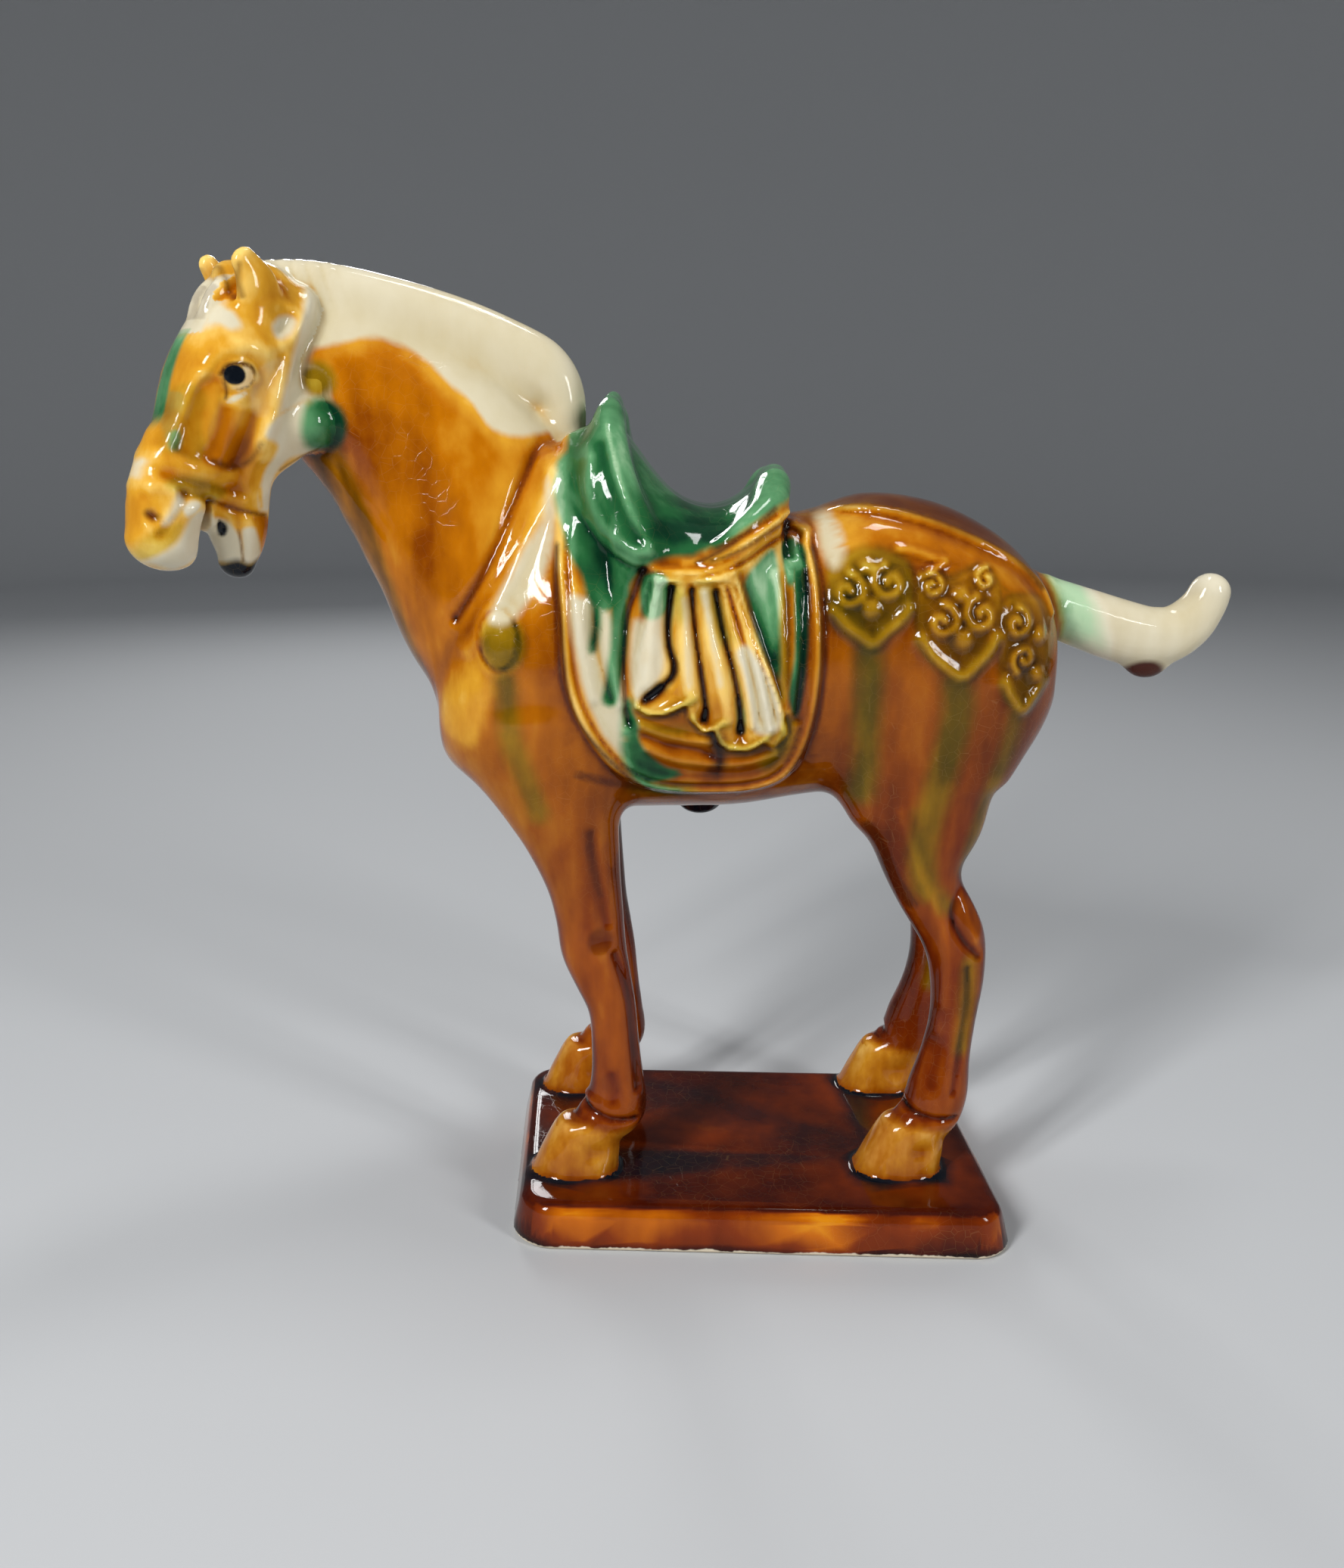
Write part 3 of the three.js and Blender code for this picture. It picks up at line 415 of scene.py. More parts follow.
def head(p):
    """Distance to the head: skull, muzzle, jaw and jowl joined, the face's modelling taken off the distance where
    it is near, the mouth pared out, then the tuft, ears, forelock and bells joined on.
    """
    x, y = p[:, 0] - HEAD_PIVOT[0], p[:, 1] - HEAD_PIVOT[1]
    out = np.full(len(p), 99.0, np.float32)
    near = np.flatnonzero((np.hypot(x, y) < 60) & (p[:, 2] > 118) & (x < 22))
    if not len(near):
        return out
    q = np.stack(head_frame(p[near]), 1).astype(np.float32)
    h = q.copy()
    h[:, 1] = np.abs(h[:, 1])
    d = join(limb(h, SKULL, square=2.25), limb(h, MUZZLE, cap=(1, 0.78)), 2.5)
    jowl = limb(h, JOWL, across=(1, 0, 0), cap=(0.6, 0.6))
    d = join(d, join(limb(h, JAW, cap=(1, 0.8)), jowl, 4.0), 2.2)
    fine = np.flatnonzero(np.abs(d) < 4)
    f = h[fine]
    d[fine] -= (0.9 * head_relief(f[:, 0], f[:, 2]) * step(f[:, 1], 1.0, 5.0)).astype(np.float32)
    slot, share = path(MOUTH, h[:, 0], h[:, 2], 20)
    d = pare(d, (0.5 + 1.9 * share - slot).astype(np.float32), 1.4)
    d = join(d, limb(h, TUFT), 2.0)
    d = join(d, np.minimum(limb(q, NEAR_EAR), limb(q, FAR_EAR)), 1.4)
    d = pare(d, -limb(h, EAR_HOLLOW), 0.9)
    d = join(d, limb(h, FORELOCK), 0.7)
    d = join(d, join(limb(h, BELL), limb(h, BELL_KNOB), 1.6), 2.4)
    out[near] = d
    return out


# The saddle. A high-fronted saddle with rounded arches front and rear, pressed with the body in the same moulds.
# A flush panel and a leaf-shaped filling lie beside the front arch, and a thick pad under the cloth.
FRONT_ARCH = [
    [-22.0, 28.2, 138.8, 1.8, 1.4], [-24.6, 27.4, 143.6, 2.4, 1.9], [-27.2, 25.0, 150.2, 2.8, 2.3],
    [-29.0, 20.8, 156.4, 3.0, 2.6], [-29.7, 14.6, 161.4, 2.8, 3.0], [-29.4, 6.6, 164.4, 2.4, 3.4],
    [-29.1, 0, 165.4, 2.2, 3.6], [-29.4, -6.6, 164.4, 2.4, 3.4], [-29.7, -14.6, 161.4, 2.8, 3.0],
]
REAR_ARCH = [
    [-8, 28.6, 136.4, 2.0, 1.6], [-4.6, 28.2, 139.2, 2.3, 1.9], [-1.2, 25.8, 142.4, 2.6, 2.2],
    [2.4, 20.5, 145.8, 2.8, 2.4], [4.0, 11.5, 149.8, 2.7, 2.6], [4.9, 0, 151.6, 2.5, 2.6],
    [4.0, -11.5, 149.8, 2.7, 2.6],
]
SEAT = [
    [-27.6, 0, 134, 26.0, 27.4], [-25.3, 0, 134, 28.0, 25.8], [-23.2, 0, 134, 28.6, 22.2],
    [-21, 0, 134, 28.9, 19.0], [-18.1, 0, 134, 29.0, 15.8], [-14.5, 0, 134, 29.0, 13.2],
    [-10.9, 0, 134, 29.0, 11.8], [-6.8, 0, 134, 29.0, 11.6], [-4, 0, 134, 28.8, 12.7], [-1, 0, 134, 28.2, 14.9],
    [2, 0, 134, 26.2, 16.8], [4.2, 0, 134, 23.4, 17.8],
]
WING = [
    [-33.0, 14.6, 155.4, 2.6, 1.4], [-34.0, 18.2, 150.6, 3.2, 1.2], [-32.4, 20.8, 145.0, 3.2, 0.8],
    [-30.0, 22.2, 140.6, 2.8, 0.5],
]
PANEL = [
    [-36.6, 8.5, 156.2, 3.4, 5.6], [-36.6, 11.2, 152, 4.4, 6.6], [-36.8, 12.4, 147, 4.8, 7.3],
    [-36.4, 13.4, 141.5, 4.9, 7.8], [-36.0, 14.5, 136, 4.8, 7.4], [-36, 15.0, 131, 4.8, 6.9],
]
LEAF = [
    [-31.8, 18.0, 155.0, 1.8, 2.6], [-31.4, 19.6, 151.5, 2.4, 3.2], [-30.8, 20.6, 148, 2.6, 3.6],
    [-29.6, 21.8, 144.5, 2.6, 3.4], [-28.2, 22.8, 141.4, 2.2, 2.8],
]
PAD = [
    [-33, 22.4, 125, 2.6, 8], [-24, 23.5, 127, 3.6, 9], [-10, 23.7, 127.4, 3.7, 9], [2, 23.3, 127, 3.5, 9],
    [9, 22.0, 126, 2.6, 8],
]


def saddle(p):
    """Distance to the saddle, alike on both sides: the seat, then each of its limbs joined on with its fillet."""
    h = p.copy()
    h[:, 1] = np.abs(h[:, 1])
    d = limb(h, SEAT, cap=(0.12, 0.12), reach=12)
    ahead, aside = (1, 0, 0), (0, 1, 0)
    for rows, across, cap, fillet in (
        (FRONT_ARCH, ahead, 0.6, 5.0), (REAR_ARCH, ahead, 0.6, 3.5), (PAD, aside, 1.0, 3.0),
        (WING, ahead, 1.0, 7.0), (PANEL, ahead, 1.0, 6.0), (LEAF, ahead, 1.0, 5.0),
    ):
        d = join(d, limb(h, rows, across, cap=(cap, cap), reach=12), fillet)
    return d


# The blanket, the pleated cloth over it, the crupper with its pendants and the breast strap. All are low relief
# pressed from the mould on both flanks, so they are a height above the flank, worked out in the flank's plane.
def outline(points, x, z):
    """Signed distance to a closed outline in a plane, above 0 inside: the least over its sides."""
    pts = np.asarray(points, float)
    best = np.full(x.shape, 1e9)
    inside = np.zeros(x.shape, bool)
    for (ax, az), (bx, bz) in zip(pts, np.roll(pts, -1, 0)):
        dx, dz = bx - ax, bz - az
        t = np.clip(((x - ax) * dx + (z - az) * dz) / (dx * dx + dz * dz), 0, 1)
        best = np.minimum(best, (x - ax - t * dx) ** 2 + (z - az - t * dz) ** 2)
        cross = ((az > z) != (bz > z)) & (x < ax + (z - az) * dx / (dz if abs(dz) > 1e-9 else 1e-9))
        inside ^= cross
    return np.where(inside, 1, -1) * np.sqrt(best)


def rounded(points, count=60):
    """A smooth closed outline through a few points, by the same formula as the spline, with the rows in a ring."""
    pts = np.asarray(points, float)
    n = len(pts)
    place = np.linspace(0, n, count, endpoint=False)
    i = place.astype(int)
    f = (place - i)[:, None]
    a, b, c, d = (pts[(i + k) % n] for k in (-1, 0, 1, 2))
    return b + 0.5 * f * (c - a + f * (2 * a - 5 * b + 4 * c - d + f * (3 * (b - c) + d - a)))


BLANKET = [
    (-40.2, 141), (-39.6, 128.4), (-38.8, 113.6), (-36.2, 104.3), (-30.6, 95.0), (-24.9, 89.9), (-16.5, 87.4),
    (-0.6, 87.6), (7.5, 91.6), (11.3, 100.3), (13.3, 113.6), (13.1, 128.4), (11.6, 138.2), (9.0, 143.6), (-15, 150),
    (-37, 149),
]
FLAP = [
    (-41.0, 150.6), (-38.7, 149.2), (-36.2, 146.6), (-33.2, 142.2), (-29.2, 137.8), (-23.6, 134.8), (-18, 133.6),
    (-12, 133.4), (-5, 135.2), (1, 138.6), (7.6, 143.2), (16, 158), (-10, 180), (-31, 178), (-35.6, 163),
    (-39.4, 156),
]
CLOTH = [
    (-20.2, 133.4), (-21.6, 126), (-23.8, 118), (-24.8, 110.6), (-24.2, 107.4), (-21.6, 105.8), (-18.4, 105.8),
    (-14.2, 107.8), (-12.8, 104.8), (-10.6, 102.2), (-8.4, 102.6), (-7.4, 99.8), (-5.4, 98.2), (-1.4, 98.0),
    (1.6, 99.8), (3.8, 98.4), (6.6, 101.6), (4.4, 110.4), (1.4, 117.6), (-1.8, 126), (-3.8, 133.4),
]
# The crupper's three pendants: outline, scrolls as x, z, size, start in degrees and hand, beads as x, z and two
# half sizes, and the chevron below.
PENDANTS = [
    ([(14.6, 135.6), (13.7, 130.3), (14.2, 125.5), (17.9, 121.2), (23.1, 118.3), (26.8, 121.7),
      (30.6, 125.2), (31.2, 130.4), (30.4, 135.0), (27.4, 137.4), (22.0, 138.4), (17.6, 137.0)],
     [(18.0, 130.0, 4.3, 80, -1), (26.2, 131.8, 4.5, 110, 1)], [(21.9, 134.9, 1.7, 1.4), (22.7, 126.9, 1.8, 1.9)],
     [(15.3, 126.4), (17.4, 123.9), (20.4, 121.8), (23.1, 120.2), (25.5, 122.2), (28.1, 124.4), (29.9, 127.0)]),
    ([(31.4, 132.4), (31.3, 126.5), (32.4, 119.9), (36.6, 114.3), (41.2, 111.8), (44.8, 114.5),
      (48.4, 119.7), (49.1, 127.3), (47.8, 133.2), (44.0, 134.8), (38.6, 132.8), (35, 133.8)],
     [(36.6, 124.3, 4.2, 80, -1), (44.6, 125.6, 4.5, 110, 1),
      (34.6, 131.3, 2.9, 100, -1), (45.6, 132.4, 2.7, 80, 1)],
     [(40.4, 129.6, 1.6, 1.5), (41.0, 120.9, 1.9, 2.0)],
     [(32.6, 120.8), (34.8, 117.8), (37.9, 115.4), (41.1, 113.6), (43.6, 115.7), (45.8, 117.8), (47.9, 121.0)]),
    ([(49.0, 127.6), (48.8, 116.4), (50.4, 109.2), (54.6, 104.5), (57.8, 108.4),
      (60.8, 115.4), (61.2, 122.4), (59.4, 127.2), (54.6, 128.8)],
     [(52.3, 123.6, 3.8, 80, -1), (54.0, 116.4, 3.5, 240, -1)], [(57.6, 121.0, 1.5, 1.6), (57.3, 113.3, 1.6, 1.6)],
     [(50.0, 111.8), (51.8, 108.6), (54.5, 106.0), (56.8, 108.2), (59.2, 111.4)]),
]
# The pleats' three deep valleys, then the folds of the blanket's front, the saddle, the blanket's sides, the
# pleated cloth and the blanket below it.
PLEATS = [
    [(-17.0, 131.0), (-17.6, 124.6), (-17.4, 119.7), (-16.4, 115.8), (-17.1, 113.2), (-20.1, 110.5),
        (-22.0, 108.8)],
    [(-13.0, 130.6), (-12.1, 121.2), (-11.0, 113.8), (-10.1, 107.6), (-10.4, 104.8)],
    [(-8.3, 130.3), (-6.8, 122.2), (-4.7, 114.7), (-3.3, 107.6), (-3.0, 102.4)],
]
FRONT_FOLDS = [
    (0.8, 1.1, [(-35.2, 138), (-34.9, 128), (-34.2, 118), (-32.6, 109)]),
    (-0.7, 0.9, [(-33.4, 140), (-32.7, 130.8), (-32.0, 121.2), (-30.6, 114.7), (-29.1, 109.1)]),
    (0.7, 1.4, [(-29.6, 134), (-29.7, 122.2), (-28.6, 114), (-27.0, 108)]),
]
SADDLE_FOLDS = [
    # the saddle skirt's two lines of piping
    (0.7, 0.8, [(-14.3, 136.0), (-9, 136.6), (-4.6, 138.6), (-0.6, 140.9), (3.2, 143.3), (6.6, 145.2)]),
    (-0.6, 0.6, [(-9.5, 138.2), (-5.0, 140.2), (-0.6, 142.4), (3.4, 144.6)]),
    # horn: a leaf-shaped hollow inside a thin ridge, and a soft roll outside it
    (-0.7, 1.5, [(-30.8, 158), (-29.6, 153.0), (-27.8, 147.8), (-25.5, 143.2), (-23.4, 140.8)]),
    (0.5, 0.95, [(-29.6, 162), (-28.6, 157.6), (-27.0, 151.8), (-25.1, 146.6), (-23.0, 142.4), (-21.2, 139.6)]),
    (0.7, 1.2, [(-32.9, 156), (-33.4, 150.4), (-32.0, 145.4), (-28.8, 141.0), (-24.8, 138.5), (-21.6, 138)]),
]
# the deep valley left of the cloth, the folds right of it
SIDE_FOLDS = [
    (-1.5, 0.95, [(-22.4, 134.6), (-24.0, 130.4), (-25.8, 124.6), (-26.5, 116.2), (-26.3, 108.6), (-25.6, 104)]),
    (0.9, 0.95, [(3.5, 133.6), (4.7, 126.0), (5.2, 116.2), (5.7, 106.4)]),
    (0.7, 0.75, [(7.0, 133.1), (7.4, 123.6), (7.3, 113.6), (6.9, 106.4)]),
    (-1.0, 0.8, [(9.6, 133.6), (9.6, 123.6), (9.4, 114), (8.4, 104.6)]),
    (-0.6, 1.2, [(-2.2, 133), (0.4, 125), (3.0, 116.8)]),
]
CLOTH_FOLDS = [
    (1.0, 1.5, [(-19.6, 131.6), (-20.8, 125.6), (-21.2, 118.7), (-21.8, 112.4)]),
    (0.9, 1.3, [(-15.1, 130.8), (-14.8, 123.6), (-14.1, 116.3), (-13.2, 110.4)]),
    (1.0, 1.4, [(-10.6, 130.3), (-9.3, 121.2), (-7.2, 113.7), (-5.6, 105)]),
    (0.7, 0.8, [(-6.9, 131.2), (-4.9, 122.8), (-2.4, 113.7), (-0.8, 103.6)]),
    (0.8, 0.8, [(-5.2, 131.2), (-2.3, 123.0), (0.5, 113.7), (2.6, 103.6)]),
    (0.8, 0.8, [(-3.9, 132.0), (-1.9, 126.2), (1.2, 117.6), (3.8, 110), (5.6, 103)]),
    *zip((-2.1, -1.5, -1.5), (0.85, 0.75, 0.75), PLEATS),
    (-0.5, 0.5, [(-5.9, 131.0), (-3.4, 122.6), (-0.9, 113.7), (0.9, 104.4)]),
    (-0.5, 0.5, [(-4.5, 131.4), (-1.4, 122.8), (1.6, 113.7), (4.1, 104.9)]),
    # hollows in the hems and their curled rims
    (-1.5, -20.2, 109.4, 2.9, 1.3, 22, 1.3), (-1.5, -10.3, 105.4, 1.5, 1.9, 0, 1.3),
    (-1.5, -3.1, 102.2, 1.3, 2.2, 0, 1.3),
    (0.9, 0.7, [(-24.2, 107.6), (-22.1, 106.3), (-18.6, 106.3), (-14.8, 108.0), (-12.4, 109.6)]),
    (0.9, 0.7, [(-13.0, 105.4), (-11.4, 102.9), (-8.9, 102.8), (-6.8, 104.4)]),
    (0.9, 0.7, [(-7.8, 101.8), (-6.3, 99.4), (-2.7, 98.8), (0.8, 99.8), (3.0, 102.8)]),
]
LOWER_FOLDS = [
    (1.0, 1.0, [(-23.2, 103.6), (-18.6, 101.8), (-14.0, 100.6), (-9.4, 100.0)]),
    (-0.7, 0.8, [(-22.6, 101.2), (-17.6, 99.2), (-12.0, 98.2), (-8.4, 96.6)]),
    (1.0, 1.1, [(-22.0, 98.6), (-16.5, 96.2), (-11.3, 95.4), (-7.0, 95.0), (-1.0, 95.4), (4.0, 97.2)]),
]
CLOTH_BAR = [(-19.6, 133.2), (-14.5, 133.8), (-9.5, 133.5), (-5.0, 134.2)]
CRUPPER = [
    (0.85, 0.9, [(12.4, 146.6), (17.6, 145.8), (25.0, 145.9), (35.0, 143.6), (45.5, 139.6), (54.4, 134.9),
        (60.2, 129.4), (62, 124.6)]),
    (-0.5, 1.0, [(14, 144.8), (24.5, 144.0), (34.5, 141.6), (44.7, 137.6), (53.1, 133.0), (58.4, 127.6),
        (60.0, 122)]),
]
CRUPPER_LOOP = [
    (0.8, 0.8, [(28.3, 138.2), (31.0, 137.9), (35.5, 136.4), (37.4, 135.9), (35.4, 134.6), (32.6, 133.2)]),
]
BREAST_STRAP = [
    (-1.0, 1.2, [(-43.6, 160), (-46.1, 153.3), (-48.6, 147), (-51.4, 140), (-55.6, 131.5), (-60.6, 124)]),
    (0.8, 1.7, [(-40.6, 152), (-42.6, 146.4), (-45.8, 139.6), (-49.8, 131), (-54.0, 124), (-58.6, 118)]),
]
BOSS = (-51.6, 120.4)


def blanket(x, z):
    """Height in mm of the blanket's rolled borders, the saddle's skirt over it, the cloth and all their folds.

    Borders are bell curves of the distance inside the blanket's outline; the cloth rises 1.1 mm within its own.
    """
    edge = outline(rounded(BLANKET, 90), x, z)
    h = 0.8 * step(edge, -0.2, 0.9) + 1.0 * bump(edge - 1.35, 0.95)
    h = h + 0.45 * bump(edge - 3.6, 0.8) - 0.25 * bump(edge - 2.6, 0.5)
    h = np.where(edge > -1.2, h, 0)
    skirt = outline(rounded(FLAP, 90), x, z)
    h *= (1 - step(skirt, -0.8, 0.2)) * (1 - step(z, 134, 146) * step(-x, 24, 32))
    h += (0.8 * step(skirt, -0.5, 0.7) + 0.5 * bump(skirt - 1.0, 0.8)) * step(x, -40, -26)
    h = folds(x, z, SADDLE_FOLDS, h=h)
    h = folds(x, z, FRONT_FOLDS, h=h, share=1 - step(z, 124, 132))
    h = folds(x, z, SIDE_FOLDS, h=h)
    cloth = outline(CLOTH, x, z)
    pleated = folds(x, z, CLOTH_FOLDS, h=1.1 * step(cloth, -0.4, 0.7))
    h = h + np.where(cloth > -1, np.maximum(pleated, -1.2) * step(cloth, -0.8, 0.3), 0)
    return folds(x, z, [(1.5, 1.3, CLOTH_BAR), *LOWER_FOLDS], h=h)


def crupper(x, z):
    """Height in mm of the strap along the croup, a furrow above it, and the pendants with scrolls and beads.

    A scroll winds inwards over 1.15 turns, and its roll is a bell curve a quarter of its radius wide.
    """
    h = folds(x, z, CRUPPER, 24)
    for plate, scrolls, beads, chevron in PENDANTS:
        inside = outline(rounded(plate, 60), x, z)
        h += np.where(inside > -1, 0.35 * step(inside, -0.3, 1.2), 0)
        for middle_x, middle_z, size, start, hand in scrolls:
            curl = np.linspace(0, 1, 22)
            angle = np.radians(start) + hand * 2 * np.pi * 1.15 * curl
            reach = size * (0.80 - 0.70 * curl)
            coil = list(zip(middle_x + reach * np.cos(angle), middle_z + reach * np.sin(angle)))
            h = folds(x, z, [(1.0, 0.24 * size, coil)], 44, h)
        for middle_x, middle_z, wide, tall in beads:
            h += 1.1 * np.exp(-(((x - middle_x) / wide) ** 2 + ((z - middle_z) / tall) ** 2) ** 1.5)
        h = folds(x, z, [(1.0, 1.5, chevron)], h=h)
    return folds(x, z, CRUPPER_LOOP, h=h)


def breast_strap(x, z):
    """Height in mm of the breast strap, the crease above it and the domed oval boss with its rim."""
    boss = np.hypot(x - BOSS[0], (z - BOSS[1]) / 1.5)
    dome = 1.7 * np.sqrt(np.clip(1 - (boss / 3.9) ** 2, 0, 1))
    return folds(x, z, BREAST_STRAP) + (dome + 0.3 * bump(boss - 4.6, 0.8))


def relief(x, y, z):
    """Height in mm of the harness and cloths above the flank, on either side, fading to 0 near the middle plane."""
    h = np.zeros(x.shape)
    for height, lies in (
        (blanket, (x > -45) & (x < 18) & (z > 83)), (crupper, (x > 12) & (z > 84)),
        (breast_strap, (x < -36) & (z > 96) & (z < 162)),
    ):
        h[lies] += height(x[lies], z[lies])
    return h * step(np.abs(y), 5, 12)


# The mane. A cropped upright mane, modelled as one rounded ridge along the neck and nicked along its crest.
# With it the horse is whole: all its forms are joined here as one wall of clay, and two drops of glaze hang below.
MANE = [
    [-38.4, 0, 154, 4.4, 3.2], [-38.9, 0, 162, 4.8, 3.8], [-39.8, 0, 168.4, 5.0, 4.6], [-43.6, 0, 172.6, 5.2, 6.4],
    [-50.6, 0, 176.0, 5.2, 7.0], [-63, -0.2, 180.4, 5.1, 7.6], [-78, -1.4, 184.3, 5, 7.8],
    [-91, -3.2, 186.8, 4.8, 7.6], [-102, -5.6, 187.6, 4.6, 6.4],
]
# The drops of glaze below the belly and the tail, as rows of x, z, half length and depth.
DROPS = [[-10.6, 80.6, 5.0, 3.4], [87.4, 111.6, 4.6, 3.4]]


def horse(p):
    """Distance to the whole horse: its forms joined one after another, and the relief taken off the distance.

    The saddle's fillet is wider in front, where it laps onto the shoulders, and narrow at the horn.
    """
    d = join(trunk(p), limb(p, MUSCLE), 3.5)
    d = join(d, legs(p), 6.0)
    d = join(d, limb(p, TAIL), 3.0)
    lapped = 1.6 + 6.5 * step(-p[:, 0], 29, 36) * (1 - step(p[:, 2], 155, 161))
    d = join(d, saddle(p), lapped.astype(np.float32))
    near = np.flatnonzero((np.abs(d) < 5) & (p[:, 0] > -62) & (p[:, 2] > 84))
    d[near] -= relief(*p[near].T).astype(np.float32)
    for x, z, wide, deep in DROPS:
        near = np.flatnonzero((np.abs(p[:, 0] - x) < 14) & (np.abs(p[:, 1]) < 10) & (np.abs(p[:, 2] - z) < 12))
        offset = (p[near] - (x, 0, z)) / (wide, 0.62 * wide, deep)
        drop = (np.sqrt((offset * offset).sum(1)) - 1).astype(np.float32) * deep
        d[near] = join(d[near], drop, 2.0)
    mane = limb(p, MANE)
    near = np.abs(mane) < 3
    x, _, z = p[near].T
    nick = np.maximum(np.cos((x + 0.35 * z) * 2.2), 0) ** 3 * step(x, -80, -88) * step(z, 182, 185)
    mane[near] += (0.22 * nick).astype(np.float32)
    return join(join(d, mane, 5.0), head(p), 2.0)


# The slab. A flat rectangular plinth of the same clay, cast hollow with the horse, a little out of square.
# The mould and the glaze round its edges, and its foot swells out where the clay sagged in drying.
SLAB_HALF = (51.95, 33.15)
SLAB_CORNER = 7
SLAB_EDGE = 2.6
SLAB_SKEW = (0.05, 0.043)


def slab(p):
    """Distance to the slab, in the object's frame: a rounded rectangle on plan, pared by its top with a round edge.

    The rectangle grows by up to 2 mm towards the foot.
    """
    x = p[:, 0] + SLAB_SKEW[0] * p[:, 1]
    y = p[:, 1] + SLAB_SKEW[1] * p[:, 0]
    z = p[:, 2]
    grow = np.interp(z, [0, 1.1, 7.4, SLAB_TOP], [1.1, 2.0, 0.5, 0.2])
    corner = SLAB_CORNER + grow
    past_x, past_y = (np.abs(at) - (half + grow - corner) for at, half in zip((x, y), SLAB_HALF))
    plan = np.hypot(np.maximum(past_x, 0), np.maximum(past_y, 0)) - corner
    plan = plan + np.minimum(np.maximum(past_x, past_y), 0)
    side, top = plan + SLAB_EDGE, z - SLAB_TOP + SLAB_EDGE
    d = np.hypot(np.maximum(side, 0), np.maximum(top, 0)) + np.minimum(np.maximum(side, top), 0) - SLAB_EDGE
    return d.astype(np.float32)


def whole(p):
    """Distance to the whole casting in the object's frame: horse and slab joined, cut flat at the floor."""
    p = np.asarray(p, np.float32)
    d = join(horse(p - HORSE_PLACE), slab(p), 1.6)
    return np.maximum(d, -p[:, 2])


# The casting. One closed skin is laid over all these forms, then eased as the wet glaze eases it, and thinned out
# where it is plain. It is the one piece of the visual model, and replaces the faceted solid.
def surface(field, low, high, fine, block=4):
    """Closed mesh of field = 0: the field on a fine grid near the surface, and on a coarse one elsewhere."""
    low = np.asarray(low, float)
    shape = (np.ceil((np.asarray(high) - low) / (fine * block)).astype(int)) * block + 1
    coarse = [low[k] + np.arange(0, shape[k], block) * fine for k in range(3)]
    corners = [len(c) for c in coarse]
    value = field(np.stack(np.meshgrid(*coarse, indexing="ij"), -1).reshape(-1, 3)).reshape(corners)
    near, outside = np.abs(value) < fine * block * 1.15, value > 0
    blocks, some_out, all_out = (np.full([c - 1 for c in corners], start) for start in (False, False, True))
    for i, j, k in np.ndindex(2, 2, 2):
        at = (slice(i, corners[0] - 1 + i), slice(j, corners[1] - 1 + j), slice(k, corners[2] - 1 + k))
        blocks |= near[at]
        some_out |= outside[at]
        all_out &= outside[at]
    blocks |= some_out & ~all_out
    dense = np.full(shape, 9.0, np.float32)
    dense[:-1, :-1, :-1] = np.repeat(np.repeat(np.repeat(value[:-1, :-1, :-1], block, 0), block, 1), block, 2)
    found = np.argwhere(blocks)
    inner = np.stack(np.meshgrid(*[np.arange(block + 1)] * 3, indexing="ij"), -1).reshape(-1, 3)
    for start in range(0, len(found), 4000):
        cell = (found[start : start + 4000, None] * block + inner).reshape(-1, 3)
        flat = np.unique(np.ravel_multi_index(cell.T, shape))
        cell = np.stack(np.unravel_index(flat, shape), 1)
        dense.reshape(-1)[flat] = field(low + cell * fine)
    return nets(dense, low, fine)


def nets(dense, low, fine):
    """Surface nets: a point in each crossed cell, the mean of its edges' crossings; a face round each crossed edge.

    An edge is crossed where the distance changes sign, at the share of its length where it would be 0.
    """
    n = dense.shape
    inside = dense < 0
    count = np.zeros([k - 1 for k in n], np.int8)
    for i, j, k in np.ndindex(2, 2, 2):
        count += inside[i : n[0] - 1 + i, j : n[1] - 1 + j, k : n[2] - 1 + k]
    cells = np.argwhere((count > 0) & (count < 8))
    number = np.full(count.shape, -1, np.int32)
    number[tuple(cells.T)] = np.arange(len(cells))
    corner = np.array(list(np.ndindex(2, 2, 2)))
    value = np.stack([dense[tuple((cells + c).T)] for c in corner], 1)
    total = np.zeros((len(cells), 3))
    hits = np.zeros(len(cells))
    for a in range(8):
        for axis in range(3):
            if corner[a, axis]:
                continue
            b = a + (4, 2, 1)[axis]
            start, end = value[:, a], value[:, b]
            cross = (start < 0) != (end < 0)
            share = np.where(cross, start / np.where(cross, start - end, 1), 0)
            total += np.where(cross[:, None], corner[a] + share[:, None] * (corner[b] - corner[a]), 0)
            hits += cross
    points = low + (cells + total / hits[:, None]) * fine
    faces = []
    for axis in range(3):
        u, w = (axis + 1) % 3, (axis + 2) % 3
        before, after = (np.take(inside, np.arange(k, n[axis] - 1 + k), axis) for k in (0, 1))
        edge = np.argwhere(before != after)
        edge = edge[(edge[:, u] > 0) & (edge[:, w] > 0) & (edge[:, u] < n[u] - 1) & (edge[:, w] < n[w] - 1)]
        outward = before[tuple(edge.T)]
        quad = []
        for back_u, back_w in ((1, 1), (0, 1), (0, 0), (1, 0)):
            cell = edge.copy()
            cell[:, u] -= back_u
            cell[:, w] -= back_w
            quad.append(number[tuple(cell.T)])
        quad = np.stack(quad, 1)
        quad[~outward] = quad[~outward][:, ::-1]
        faces.append(quad)
    return points, np.concatenate(faces)


